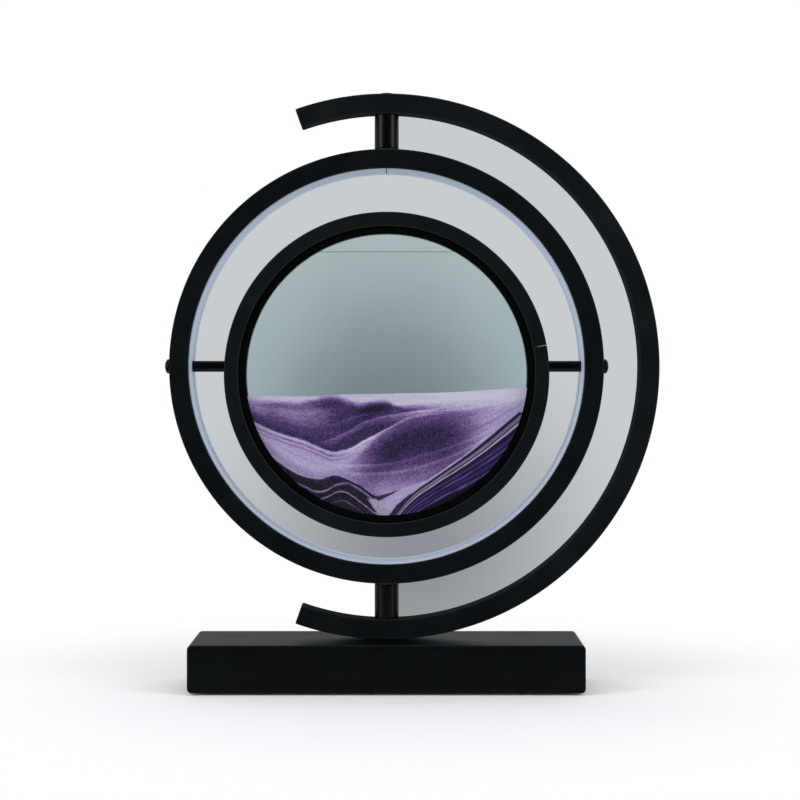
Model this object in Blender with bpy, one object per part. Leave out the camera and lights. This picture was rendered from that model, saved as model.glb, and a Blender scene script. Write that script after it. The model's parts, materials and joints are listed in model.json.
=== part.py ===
"""Moving sand art lamp: a sand picture that flips on a level axle, inside a lit ring that turns on two
upright posts, inside an open C-shaped arm on a weighted block base.

Units are metres. +Z is up, +X is to the right of someone facing the lamp, and -Y points towards them.
The origin is the middle of the base's underside.
"""

import math

import bmesh
import bpy
from mathutils import Vector

MM = 0.001

# Fits
GAP = 0.3 * MM  # between pieces that touch
ROUND_STEPS = 80  # facets of the large rings
PIN_STEPS = 24  # facets of posts, pins and nuts
SCREW_STEPS = 16  # facets of small screws

# Base
BASE_LENGTH = 193 * MM
BASE_DEPTH = 50 * MM
BASE_HEIGHT = 24 * MM
BASE_WALL = 2 * MM
BASE_EDGE_RADIUS = 1.6 * MM
SKIRT_LIFT = 0.8 * MM
PAD_THICKNESS = 1.6 * MM
PAD_INSET = 3 * MM
PLATE_THICKNESS = 1.6 * MM
BOSS_RADIUS = 3.5 * MM
BOSS_INSET = 2 * MM
PLATE_SCREW_RADIUS = 1.25 * MM
PLATE_SCREW_HEAD_RADIUS = 2.6 * MM
PLATE_SCREW_HEAD_HEIGHT = 1.2 * MM
PLATE_SCREW_GRIP = 9 * MM
BALLAST_HEIGHT = 13 * MM
BALLAST_CLEARANCE = 2 * MM

# Lighting parts in the base
BOARD_LENGTH = 40 * MM
BOARD_DEPTH = 24 * MM
BOARD_THICKNESS = 1.6 * MM
BOARD_STANDOFF = 4 * MM
BOARD_OFFSET = 25 * MM  # near end from the middle of the base
STANDOFF_RADIUS = 2.8 * MM
BOARD_SCREW_RADIUS = 1.1 * MM
BOARD_SCREW_HEAD_RADIUS = 2 * MM
BOARD_SCREW_HEAD_HEIGHT = 1.3 * MM
BOARD_SCREW_INSET = 4 * MM
BOARD_SCREW_REACH = 3 * MM
CHIP_SIZE = 7 * MM
CHIP_HEIGHT = 1.6 * MM
INLET_WIDTH = 9 * MM
INLET_HEIGHT = 3.3 * MM
INLET_DEPTH = 8 * MM
INLET_WALL = 0.35 * MM
INLET_BACK = 1.4 * MM
INLET_TONGUE_WIDTH = 6.4 * MM
INLET_TONGUE_THICKNESS = 0.7 * MM
INLET_TONGUE_SETBACK = 1.3 * MM
LEAD_RADIUS = 1.1 * MM
LEAD_BEND = 5 * MM

# Arm
ARM_OUTER_RADIUS = 135 * MM
ARM_WIDTH = 10 * MM
ARM_DEPTH = 10 * MM
ARM_EDGE = 0.6 * MM
ARM_OVERHANG = math.radians(19.6)  # each end past the upright through the centre
ARM_FLAT = 0.3 * MM
ARM_STEPS = 64
LOCATING_PIN_RADIUS = 1.2 * MM
LOCATING_PIN_OFFSET = 6.2 * MM
LOCATING_PIN_REACH = 4 * MM

# Posts and the fasteners through them
POST_RADIUS = 6 * MM
TUBE_RADIUS = 3 * MM
TUBE_BORE_RADIUS = 1.8 * MM
TUBE_END = 1.2 * MM
BOLT_RADIUS = 2 * MM
BOLT_HEAD_RADIUS = 3.4 * MM
BOLT_HEAD_HEIGHT = 2 * MM
BOLT_HEAD_PROUD = 0.5 * MM
NUT_FLATS = 10 * MM
NUT_HEIGHT = 3.4 * MM
LOCK_WASHER_RADIUS = 9 * MM
LOCK_WASHER_THICKNESS = 1 * MM
SWIVEL_WASHER_THICKNESS = 0.8 * MM

# Light ring
RING_CLEARANCE = 18.5 * MM  # inside the arm
RING_WIDTH = 9.5 * MM
RING_DEPTH = 28 * MM
RING_WALL = 1.5 * MM
RING_EDGE = 0.5 * MM
DIFFUSER_RECESS = 0.5 * MM
DIFFUSER_THICKNESS = 1.4 * MM
DIFFUSER_CROWN = 0.35 * MM
DIFFUSER_SEAM = 0.4 * MM
STRIP_WIDTH = 14 * MM
STRIP_THICKNESS = 0.5 * MM
STRIP_END_MARGIN = 2 * MM
LED_HEIGHT = 0.9 * MM
LED_LENGTH = 3.5 * MM
LED_COUNT = 22  # on each half of the strip

# Axle
AXLE_RADIUS = 2.75 * MM
AXLE_TAP_RADIUS = 1.5 * MM
AXLE_TAP_DEPTH = 6 * MM
AXLE_SCREW_REACH = 5 * MM
AXLE_SCREW_HEAD_RADIUS = 3 * MM
AXLE_SCREW_HEAD_HEIGHT = 1.1 * MM
CAP_RADIUS = 3.6 * MM
CAP_SHOULDER = 2.1 * MM
CAP_DOME = 2.1 * MM
BUSHING_WALL = 0.6 * MM
BUSHING_FLANGE = 1.4 * MM
BUSHING_FLANGE_THICKNESS = 1 * MM
PIVOT_RISE = 4 * MM  # axle above the middle of the sand disc

# Sand disc
DISC_CLEARANCE = 16.8 * MM  # inside the light ring
HOOP_LIP = 7 * MM
HOOP_WALL = 1.4 * MM
HOOP_EDGE = 0.4 * MM
HOOP_JOINT_ANGLE = math.radians(10.4)
HOOP_JOINT_GAP = 0.4 * MM
GLASS_THICKNESS = 4 * MM
GLASS_RIM_CLEARANCE = 0.6 * MM  # inside the axle screws' heads
CELL_GAP = 6 * MM
SEAL_SHOW = 3.7 * MM  # seen inside the hoop's lip
PLUG_RADIUS = 1.5 * MM
PLUG_HEAD_RADIUS = 2.4 * MM
PLUG_HEAD_HEIGHT = 1 * MM
AIR_HEIGHT = 8.5 * MM
SAND_PARTING = 0.4 * MM
WALL_STEP = math.radians(4)
CURVE_SPAN_STEPS = 4

# Sand surfaces from wall to wall, left to right, as (across, up) shares of the cell's radius
SAND_TOP = [(-0.98, -0.15), (-0.6, -0.158), (-0.29, -0.143), (0.06, -0.137), (0.48, -0.127), (0.985, -0.092)]
RIDGE_TOP = [(-0.8, -0.58), (-0.64, -0.7), (-0.49, -0.75), (-0.35, -0.727), (-0.13, -0.84), (0.014, -0.99)]
SLOPE_TOP = [(0.07, -0.985), (0.2, -0.84), (0.33, -0.747), (0.62, -0.54), (0.95, -0.267)]

# Places worked out from the sizes
PLATE_BOTTOM = PAD_THICKNESS + GAP
PLATE_TOP = PLATE_BOTTOM + PLATE_THICKNESS
OPENING_LENGTH = BASE_LENGTH - 2 * BASE_WALL
OPENING_DEPTH = BASE_DEPTH - 2 * BASE_WALL
CEILING = BASE_HEIGHT - BASE_WALL
BOSS_X = OPENING_LENGTH / 2 - BOSS_INSET - BOSS_RADIUS
BOSS_Y = OPENING_DEPTH / 2 - BOSS_INSET - BOSS_RADIUS
BOARD_BOTTOM = PLATE_TOP + BOARD_STANDOFF + GAP
BOARD_TOP = BOARD_BOTTOM + BOARD_THICKNESS
BOARD_CENTRE_X = BOARD_OFFSET + BOARD_LENGTH / 2
BOARD_CENTRE_Y = BASE_DEPTH / 2 - BASE_WALL - GAP - BOARD_DEPTH / 2
ARM_INNER_RADIUS = ARM_OUTER_RADIUS - ARM_WIDTH
CENTRE_Z = BASE_HEIGHT + GAP - ARM_FLAT + ARM_OUTER_RADIUS
RING_OUTER_RADIUS = ARM_INNER_RADIUS - RING_CLEARANCE
RING_INNER_RADIUS = RING_OUTER_RADIUS - RING_WIDTH
WEB_RADIUS = RING_OUTER_RADIUS - RING_WALL
NUT_CORNER = NUT_FLATS / math.sqrt(3)
BUSHING_BORE = AXLE_RADIUS + GAP
BUSHING_RADIUS = BUSHING_BORE + BUSHING_WALL
BUSHING_FLANGE_RADIUS = BUSHING_RADIUS + BUSHING_FLANGE
DIFFUSER_RADIUS = RING_INNER_RADIUS + DIFFUSER_RECESS
HOOP_OUTER_RADIUS = RING_INNER_RADIUS - DISC_CLEARANCE
HOOP_WEB_RADIUS = HOOP_OUTER_RADIUS - HOOP_WALL
HOOP_LIP_RADIUS = HOOP_OUTER_RADIUS - HOOP_LIP
CELL_RADIUS = HOOP_LIP_RADIUS - SEAL_SHOW
LIQUID_LEVEL = CELL_RADIUS - AIR_HEIGHT
GLASS_FACE = CELL_GAP / 2 + GLASS_THICKNESS
HOOP_DEPTH = 2 * (GLASS_FACE + GAP + HOOP_WALL)
SAND_RADIUS = CELL_RADIUS - GAP
SAND_DEPTH = CELL_GAP - 2 * GAP
FULL_TURN = 2 * math.pi
QUARTER_TURN = math.pi / 2


def sagitta(radius, half_chord):
    """How far an arc of this radius falls away over half a chord."""
    return radius - math.sqrt(radius**2 - half_chord**2)


def axle_screw_seat():
    """How far out the axle screws' heads can sit, inside the hoop's curved web."""
    reach = PIVOT_RISE + AXLE_SCREW_HEAD_RADIUS
    return HOOP_WEB_RADIUS - sagitta(HOOP_WEB_RADIUS, reach) - GAP


def glass_radius():
    """The panes stop short of the axle screws' heads."""
    return axle_screw_seat() - AXLE_SCREW_HEAD_HEIGHT - GLASS_RIM_CLEARANCE


def finish(name, colour, roughness, metallic=0.0, alpha=1.0):
    """A Principled BSDF material."""
    material = bpy.data.materials.new(name)
    material.use_nodes = True
    shader = material.node_tree.nodes["Principled BSDF"]
    shader.inputs["Base Color"].default_value = (*colour, 1)
    shader.inputs["Roughness"].default_value = roughness
    shader.inputs["Metallic"].default_value = metallic
    shader.inputs["Alpha"].default_value = alpha
    return material


def add_object(name, shape, material=None, parent=None, place=(0, 0, 0), turn=(0, 0, 0)):
    """Turns a bmesh into a named object with smooth round faces."""
    bmesh.ops.recalc_face_normals(shape, faces=shape.faces)
    mesh = bpy.data.meshes.new(name)
    shape.to_mesh(mesh)
    shape.free()
    mesh.shade_smooth()
    mesh.set_sharp_from_angle(angle=math.radians(30))
    if material:
        mesh.materials.append(material)
    obj = bpy.data.objects.new(name, mesh)
    obj.location = place
    obj.rotation_euler = turn
    obj.parent = parent
    bpy.context.scene.collection.objects.link(obj)
    return obj


def add_pivot(name, place, parent=None):
    """An empty on a joint's axis, which carries the pieces that move on it."""
    pivot = bpy.data.objects.new(name, None)
    pivot.location = place
    pivot.parent = parent
    bpy.context.scene.collection.objects.link(pivot)
    return pivot


def combine(target, shape, operation="DIFFERENCE"):
    """Cuts or joins a helper shape, given in the target's own coordinates."""
    helper = add_object(f"{target.name}_{operation.lower()}_{len(target.modifiers)}", shape, parent=target)
    helper.hide_render = True
    helper.display_type = "WIRE"
    modifier = target.modifiers.new(helper.name, "BOOLEAN")
    modifier.operation = operation
    modifier.solver = "EXACT"
    modifier.object = helper


def box(size, centre=(0, 0, 0)):
    """A block."""
    shape = bmesh.new()
    bmesh.ops.create_cube(shape, size=1)
    bmesh.ops.scale(shape, vec=size, verts=shape.verts)
    bmesh.ops.translate(shape, vec=centre, verts=shape.verts)
    return shape


def rod(radius, bottom, top, centre=(0, 0), steps=PIN_STEPS):
    """An upright solid cylinder."""
    shape = bmesh.new()
    bmesh.ops.create_cone(
        shape, cap_ends=True, segments=steps, radius1=radius, radius2=radius, depth=top - bottom
    )
    bmesh.ops.translate(shape, vec=(*centre, (top + bottom) / 2), verts=shape.verts)
    return shape


def merge_shapes(shapes):
    """Several separate shapes as one bmesh."""
    whole = bmesh.new()
    for shape in shapes:
        part = bpy.data.meshes.new("part")
        shape.to_mesh(part)
        shape.free()
        whole.from_mesh(part)
        bpy.data.meshes.remove(part)
    return whole


def lay_along_x(shape):
    """Turns an upright shape so that its top points along +X."""
    turn = Vector((0, 0, 1)).rotation_difference(Vector((1, 0, 0))).to_matrix()
    bmesh.ops.rotate(shape, matrix=turn, verts=shape.verts)
    return shape


def turned(profile, steps=PIN_STEPS, hollow=False):
    """Spins (radius, height) points about Z. A hollow profile is a closed loop clear of the axis."""
    shape = bmesh.new()
    points = [shape.verts.new((radius, 0, height)) for radius, height in profile]
    pairs = list(zip(points, points[1:])) + ([(points[-1], points[0])] if hollow else [])
    edges = [shape.edges.new(pair) for pair in pairs]
    bmesh.ops.spin(
        shape, geom=points + edges, axis=(0, 0, 1), angle=FULL_TURN, steps=steps, use_merge=True
    )
    bmesh.ops.remove_doubles(shape, verts=shape.verts, dist=MM / 1000)
    return shape


def tube(outer, inner, bottom, top, steps=PIN_STEPS):
    """An upright sleeve."""
    return turned([(outer, top), (outer, bottom), (inner, bottom), (inner, top)], steps, hollow=True)


def hoop(profile, start, end, steps):
    """Spins a closed loop of (radius, depth) points about Y, from one angle above +X to another."""
    shape = bmesh.new()
    points = [
        shape.verts.new((radius * math.cos(start), depth, radius * math.sin(start)))
        for radius, depth in profile
    ]
    edges = [shape.edges.new(pair) for pair in zip(points, points[1:] + points[:1])]
    whole = math.isclose(end - start, FULL_TURN)
    bmesh.ops.spin(
        shape, geom=points + edges, axis=(0, -1, 0), angle=end - start, steps=steps, use_merge=whole
    )
    if not whole:
        open_edges = [edge for edge in shape.edges if edge.is_boundary]
        bmesh.ops.holes_fill(shape, edges=open_edges)
    return shape


def plate(outline, depth):
    """A flat outline of (across, up) points, given a thickness about the middle plane."""
    shape = bmesh.new()
    face = shape.faces.new([shape.verts.new((across, -depth / 2, up)) for across, up in outline])
    extruded = bmesh.ops.extrude_face_region(shape, geom=[face])["geom"]
    moved = [item for item in extruded if isinstance(item, bmesh.types.BMVert)]
    bmesh.ops.translate(shape, vec=(0, depth, 0), verts=moved)
    return shape


def smooth_line(points, steps=CURVE_SPAN_STEPS):
    """Points along a smooth curve through the given ones."""
    ends = [2 * Vector(points[0]) - Vector(points[1]), 2 * Vector(points[-1]) - Vector(points[-2])]
    chain = [ends[0], *map(Vector, points), ends[1]]
    line = []
    for before, start, end, after in zip(chain, chain[1:], chain[2:], chain[3:]):
        for step in range(steps):
            t = step / steps
            line.append(
                0.5
                * (
                    2 * start
                    + (end - before) * t
                    + (2 * before - 5 * start + 4 * end - after) * t**2
                    + (3 * start - before - 3 * end + after) * t**3
                )
            )
    return line + [chain[-2]]


def add_base_housing(paint):
    """The hollow block, open underneath, with screw bosses and its wall openings."""
    height = BASE_HEIGHT - SKIRT_LIFT
    shape = box((BASE_LENGTH, BASE_DEPTH, height), (0, 0, SKIRT_LIFT + height / 2))
    bmesh.ops.bevel(
        shape, geom=shape.edges, offset=BASE_EDGE_RADIUS, segments=3, profile=0.5, affect="EDGES"
    )
    housing = add_object("base_housing", shape, paint)
    hollow = CEILING + BASE_WALL
    combine(housing, box((OPENING_LENGTH, OPENING_DEPTH, hollow), (0, 0, CEILING - hollow / 2)))
    boss_bottom = PLATE_TOP + GAP
    bosses = [rod(BOSS_RADIUS, boss_bottom, CEILING + BASE_WALL / 2, place) for place in boss_places()]
    combine(housing, merge_shapes(bosses), "UNION")
    hole = PLATE_SCREW_RADIUS + GAP
    hole_top = PLATE_TOP + PLATE_SCREW_GRIP + 2 * GAP
    pilots = [rod(hole, PLATE_BOTTOM, hole_top, place, SCREW_STEPS) for place in boss_places()]
    tube_hole = rod(TUBE_RADIUS + GAP, CEILING - BASE_WALL, BASE_HEIGHT + BASE_WALL)
    pin_hole = rod(
        LOCATING_PIN_RADIUS + GAP,
        CEILING - BASE_WALL,
        BASE_HEIGHT + BASE_WALL,
        (LOCATING_PIN_OFFSET, 0),
        SCREW_STEPS,
    )
    inlet_size = (INLET_WIDTH + 2 * GAP, 4 * BASE_WALL, INLET_HEIGHT + 2 * GAP)
    inlet_slot = box(inlet_size, (BOARD_CENTRE_X, BASE_DEPTH / 2, inlet_centre_z()))
    combine(housing, merge_shapes([*pilots, tube_hole, pin_hole, inlet_slot]))


def boss_places():
    """The four corners where the bottom plate is screwed on."""
    return [(BOSS_X * side, BOSS_Y * end) for side in (-1, 1) for end in (-1, 1)]


def standoff_places():
    """Where the driver board is screwed down, on its middle line."""
    reach = BOARD_LENGTH / 2 - BOARD_SCREW_INSET
    return [(BOARD_CENTRE_X + side * reach, BOARD_CENTRE_Y) for side in (-1, 1)]


def board_screw_tip():
    """How far down the board's screws reach into the standoffs."""
    return PLATE_TOP + BOARD_STANDOFF - BOARD_SCREW_REACH


def inlet_centre_z():
    """The inlet lies on top of the driver board."""
    return BOARD_TOP + GAP + INLET_HEIGHT / 2


def add_bottom_plate(steel):
    """The plate that closes the base, with standoffs for the driver board."""
    size = (OPENING_LENGTH - 2 * GAP, OPENING_DEPTH - 2 * GAP, PLATE_THICKNESS)
    bottom = add_object("base_bottom_plate", box(size, (0, 0, PLATE_BOTTOM + PLATE_THICKNESS / 2)), steel)
    foot = PLATE_TOP - PLATE_THICKNESS / 2
    standoff_top = PLATE_TOP + BOARD_STANDOFF
    standoffs = [rod(STANDOFF_RADIUS, foot, standoff_top, place) for place in standoff_places()]
    combine(bottom, merge_shapes(standoffs), "UNION")
    countersinks = []
    for across, along in boss_places():
        cone = turned(plate_screw_profile(GAP, PLATE_BOTTOM - GAP), SCREW_STEPS)
        bmesh.ops.translate(cone, vec=(across, along, 0), verts=cone.verts)
        countersinks.append(cone)
    tap = BOARD_SCREW_RADIUS + GAP
    tap_bottom = board_screw_tip() - GAP
    taps = [rod(tap, tap_bottom, BOARD_TOP, place, SCREW_STEPS) for place in standoff_places()]
    combine(bottom, merge_shapes(countersinks + taps))


def plate_screw_profile(margin, foot):
    """A countersunk screw seen from the side, grown by a margin, from its foot up to its tip."""
    head = PLATE_SCREW_HEAD_RADIUS + margin
    shank = PLATE_SCREW_RADIUS + margin
    head_top = PLATE_BOTTOM + PLATE_SCREW_HEAD_HEIGHT
    tip = PLATE_TOP + PLATE_SCREW_GRIP + margin
    return [(0, tip), (shank, tip), (shank, head_top), (head, PLATE_BOTTOM), (head, foot), (0, foot)]


def add_base_fittings(materials):
    """The pad, the weight and the screws of the base."""
    inset = 2 * (GAP + PAD_INSET)
    pad_size = (OPENING_LENGTH - inset, OPENING_DEPTH - inset, PAD_THICKNESS)
    add_object("base_pad", box(pad_size, (0, 0, PAD_THICKNESS / 2)), materials["foam"])
    for number, (across, along) in enumerate(boss_places(), 1):
        screw = turned(plate_screw_profile(0, PLATE_BOTTOM), SCREW_STEPS)
        add_object(f"bottom_plate_screw_{number}", screw, materials["steel"], place=(across, along, 0))
    near = LOCK_WASHER_RADIUS + BALLAST_CLEARANCE
    far = BOSS_X - BOSS_RADIUS - BALLAST_CLEARANCE
    size = (far - near, OPENING_DEPTH - 2 * BALLAST_CLEARANCE, BALLAST_HEIGHT)
    middle = (-(near + far) / 2, 0, PLATE_TOP + GAP + BALLAST_HEIGHT / 2)
    add_object("ballast_block", box(size, middle), materials["steel"])


def add_lighting_parts(materials):
    """The driver board, its screws, the power inlet and the lead up to the light ring."""
    size = (BOARD_LENGTH, BOARD_DEPTH, BOARD_THICKNESS)
    middle = (BOARD_CENTRE_X, BOARD_CENTRE_Y, BOARD_BOTTOM + BOARD_THICKNESS / 2)
    board = add_object("driver_board", box(size, middle), materials["board"])
    chip_z = BOARD_TOP + CHIP_HEIGHT / 2 - BOARD_THICKNESS / 4
    chip_place = (BOARD_CENTRE_X, BOARD_CENTRE_Y - BOARD_DEPTH / 4, chip_z)
    combine(board, box((CHIP_SIZE, CHIP_SIZE, CHIP_HEIGHT + BOARD_THICKNESS / 2), chip_place), "UNION")
    holes = [
        rod(BOARD_SCREW_RADIUS + GAP, BOARD_BOTTOM - GAP, BOARD_TOP + GAP, place, SCREW_STEPS)
        for place in standoff_places()
    ]
    combine(board, merge_shapes(holes))
    head_bottom = BOARD_TOP + GAP
    head_top = head_bottom + BOARD_SCREW_HEAD_HEIGHT
    tip = board_screw_tip()
    profile = [
        (0, head_top),
        (BOARD_SCREW_HEAD_RADIUS, head_top),
        (BOARD_SCREW_HEAD_RADIUS, head_bottom),
        (BOARD_SCREW_RADIUS, head_bottom),
        (BOARD_SCREW_RADIUS, tip),
        (0, tip),
    ]
    for number, (across, along) in enumerate(standoff_places(), 1):
        screw = turned(profile, SCREW_STEPS)
        add_object(f"board_screw_{number}", screw, materials["steel"], place=(across, along, 0))
    add_inlet(materials["bright"])
    add_lead(materials["cable"])


def add_inlet(metal):
    """A flat low-voltage socket: a shell with an open mouth to the rear and a contact tongue."""
    mouth = BASE_DEPTH / 2 - GAP
    middle = (BOARD_CENTRE_X, mouth - INLET_DEPTH / 2, inlet_centre_z())
    shell = add_object("power_inlet", box((INLET_WIDTH, INLET_DEPTH, INLET_HEIGHT), middle), metal)
    cavity_depth = INLET_DEPTH - INLET_BACK
    cavity = (INLET_WIDTH - 2 * INLET_WALL, 2 * cavity_depth, INLET_HEIGHT - 2 * INLET_WALL)
    combine(shell, box(cavity, (BOARD_CENTRE_X, mouth, inlet_centre_z())))
    root = mouth - INLET_DEPTH + INLET_BACK / 2
    tip = mouth - INLET_TONGUE_SETBACK
    tongue = (INLET_TONGUE_WIDTH, tip - root, INLET_TONGUE_THICKNESS)
    combine(shell, box(tongue, (BOARD_CENTRE_X, (root + tip) / 2, inlet_centre_z())), "UNION")


def add_lead(sleeve):
    """The two-core lead from the board's edge to the foot of the threaded tube, then up inside it."""
    run_y = BOARD_CENTRE_Y - BOARD_DEPTH / 4
    run_z = BOARD_BOTTOM + BOARD_THICKNESS / 2
    route = [
        (BOARD_OFFSET - GAP, run_y, run_z),
        (BOARD_OFFSET - LEAD_BEND, run_y, run_z),
        (2 * LEAD_BEND, run_y / 2, run_z),
        (LEAD_BEND, run_y / 6, run_z),
        (LEAD_BEND / 3, 0, run_z + LEAD_BEND / 4),
        (0, 0, run_z + LEAD_BEND),
        (0, 0, run_z + 2 * LEAD_BEND),
        (0, 0, tube_top()),
    ]
    curve = bpy.data.curves.new("led_lead", "CURVE")
    curve.dimensions = "3D"
    curve.bevel_depth = LEAD_RADIUS
    curve.bevel_resolution = 2
    curve.use_fill_caps = True
    points = smooth_line(route)
    spline = curve.splines.new("POLY")
    spline.points.add(len(points) - 1)
    for point, place in zip(spline.points, points):
        point.co = (*place, 1)
    curve.materials.append(sleeve)
    bpy.context.scene.collection.objects.link(bpy.data.objects.new("led_lead", curve))


def ring_nut_bottom():
    """The lower nut sits in the ring's curved web."""
    return CENTRE_Z - WEB_RADIUS + sagitta(WEB_RADIUS, NUT_CORNER) + GAP


def tube_top():
    """The threaded tube ends flush with the nut in the ring."""
    return ring_nut_bottom() + NUT_HEIGHT


def lock_nut_bottom():
    """The nut inside the base, below its washer."""
    return CEILING - 2 * GAP - LOCK_WASHER_THICKNESS - NUT_HEIGHT


def add_nut(name, thread_radius, bottom, metal):
    """A plain hexagon nut."""
    nut = add_object(name, rod(NUT_CORNER, bottom, bottom + NUT_HEIGHT, steps=6), metal)
    combine(nut, rod(thread_radius + GAP, bottom - NUT_HEIGHT, bottom + 2 * NUT_HEIGHT))


def add_arm(paint):
    """The C-shaped bar, with a flat where it stands on the base."""
    start = -QUARTER_TURN - ARM_OVERHANG
    half = ARM_DEPTH / 2
    profile = [
        (ARM_OUTER_RADIUS - ARM_EDGE, -half),
        (ARM_OUTER_RADIUS, -half + ARM_EDGE),
        (ARM_OUTER_RADIUS, half - ARM_EDGE),
        (ARM_OUTER_RADIUS - ARM_EDGE, half),
        (ARM_INNER_RADIUS + ARM_EDGE, half),
        (ARM_INNER_RADIUS, half - ARM_EDGE),
        (ARM_INNER_RADIUS, -half + ARM_EDGE),
        (ARM_INNER_RADIUS + ARM_EDGE, -half),
    ]
    arm = add_object("outer_arm", hoop(profile, start, -start, ARM_STEPS), paint, place=(0, 0, CENTRE_Z))
    seat = ARM_OUTER_RADIUS - ARM_FLAT
    flat = box((ARM_OUTER_RADIUS, 2 * ARM_DEPTH, ARM_WIDTH), (0, 0, -seat - ARM_WIDTH / 2))
    tube_hole = rod(TUBE_RADIUS + GAP, -seat - ARM_WIDTH, -ARM_INNER_RADIUS + ARM_WIDTH)
    pin_top = -seat + LOCATING_PIN_REACH + GAP
    pin_hole = rod(
        LOCATING_PIN_RADIUS + GAP, -seat - ARM_WIDTH, pin_top, (LOCATING_PIN_OFFSET, 0), SCREW_STEPS
    )
    bolt_hole = turned(bolt_profile(GAP, ARM_INNER_RADIUS - ARM_WIDTH, ARM_OUTER_RADIUS + ARM_WIDTH))
    combine(arm, flat)
    combine(arm, merge_shapes([tube_hole, pin_hole]))
    combine(arm, bolt_hole)


def bolt_profile(margin, tip, crown):
    """The countersunk bolt from the arm's top, about the arm's centre, grown by a margin."""
    head = BOLT_HEAD_RADIUS + margin
    shank = BOLT_RADIUS + margin
    rim = ARM_OUTER_RADIUS - sagitta(ARM_OUTER_RADIUS, head)
    return [(0, crown), (head, crown), (head, rim), (shank, rim - BOLT_HEAD_HEIGHT), (shank, tip), (0, tip)]


def add_posts(materials):
    """The sleeves above and below the ring, with what passes through them."""
    paint, metal, nylon = materials["paint"], materials["steel"], materials["nylon"]
    seat = sagitta(ARM_INNER_RADIUS, POST_RADIUS) + GAP
    washer_face = RING_OUTER_RADIUS + GAP
    post_face = washer_face + SWIVEL_WASHER_THICKNESS + GAP
    arm_face = ARM_INNER_RADIUS - seat
    lower_bore = TUBE_RADIUS + GAP
    upper_bore = BOLT_RADIUS + GAP
    add_object("lower_post", tube(POST_RADIUS, lower_bore, CENTRE_Z - arm_face, CENTRE_Z - post_face), paint)
    add_object("upper_post", tube(POST_RADIUS, upper_bore, CENTRE_Z + post_face, CENTRE_Z + arm_face), paint)
    washer_top = CENTRE_Z - washer_face
    washer_bottom = CENTRE_Z + washer_face
    thickness = SWIVEL_WASHER_THICKNESS
    lower_washer = tube(POST_RADIUS, lower_bore, washer_top - thickness, washer_top)
    upper_washer = tube(POST_RADIUS, upper_bore, washer_bottom, washer_bottom + thickness)
    add_object("lower_swivel_washer", lower_washer, nylon)
    add_object("upper_swivel_washer", upper_washer, nylon)
    tube_foot = lock_nut_bottom() - TUBE_END
    add_object("threaded_tube", tube(TUBE_RADIUS, TUBE_BORE_RADIUS, tube_foot, tube_top()), metal)
    add_nut("lower_ring_nut", TUBE_RADIUS, ring_nut_bottom(), metal)
    add_nut("base_lock_nut", TUBE_RADIUS, lock_nut_bottom(), metal)
    lock_washer_top = CEILING - GAP
    lock_washer = tube(
        LOCK_WASHER_RADIUS, lower_bore, lock_washer_top - LOCK_WASHER_THICKNESS, lock_washer_top
    )
    pin_hole = rod(LOCATING_PIN_RADIUS + GAP, 0, BASE_HEIGHT, (LOCATING_PIN_OFFSET, 0), SCREW_STEPS)
    combine(add_object("base_lock_washer", lock_washer, metal), pin_hole)
    upper_nut_bottom = CENTRE_Z + WEB_RADIUS - sagitta(WEB_RADIUS, NUT_CORNER) - GAP - NUT_HEIGHT
    add_nut("upper_ring_nut", BOLT_RADIUS, upper_nut_bottom, metal)
    crown = ARM_OUTER_RADIUS + BOLT_HEAD_PROUD
    bolt = turned(bolt_profile(0, upper_nut_bottom - CENTRE_Z, crown))
    add_object("upper_bolt", bolt, paint, place=(0, 0, CENTRE_Z))
    pin_bottom = CEILING - GAP - LOCK_WASHER_THICKNESS
    pin_top = BASE_HEIGHT + GAP + LOCATING_PIN_REACH
    pin = rod(LOCATING_PIN_RADIUS, pin_bottom, pin_top, (LOCATING_PIN_OFFSET, 0), SCREW_STEPS)
    add_object("arm_locating_pin", pin, metal)


def channel_profile(outer, wall, inner, depth, edge):
    """A U section that opens towards the centre, with its outer corners eased."""
    half = depth / 2
    side = half - wall
    return [
        (inner, -half + edge),
        (inner + edge, -half),
        (outer - edge, -half),
        (outer, -half + edge),
        (outer, half - edge),
        (outer - edge, half),
        (inner + edge, half),
        (inner, half - edge),
        (inner, side),
        (outer - wall, side),
        (outer - wall, -side),
        (inner, -side),
    ]


def axle_cutters(radius, near, far):
    """Level holes through both sides of a ring, on the axle's line."""
    hole = lay_along_x(rod(radius, near, far))
    mirrored = lay_along_x(rod(radius, -far, -near))
    return [hole, mirrored]


def add_light_ring(pivot, materials):
    """The channel, the two halves of the light strip, the diffuser and the axle's bushings."""
    profile = channel_profile(RING_OUTER_RADIUS, RING_WALL, RING_INNER_RADIUS, RING_DEPTH, RING_EDGE)
    channel = add_object("ring_channel", hoop(profile, 0, FULL_TURN, ROUND_STEPS), materials["paint"], pivot)
    near = WEB_RADIUS - RING_WALL
    far = RING_OUTER_RADIUS + RING_WALL
    lower_hole = rod(TUBE_RADIUS + GAP, -far, -near)
    upper_hole = rod(BOLT_RADIUS + GAP, near, far)
    bushing_holes = axle_cutters(BUSHING_RADIUS + GAP, near, far)
    combine(channel, merge_shapes([lower_hole, upper_hole, *bushing_holes]))
    for side, turn in (("right", 0), ("left", math.pi)):
        add_led_strip(side, turn, pivot, materials["strip"])
        add_bushing(side, turn, pivot, materials["nylon"])
    add_diffuser(pivot, materials["diffuser"])


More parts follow.
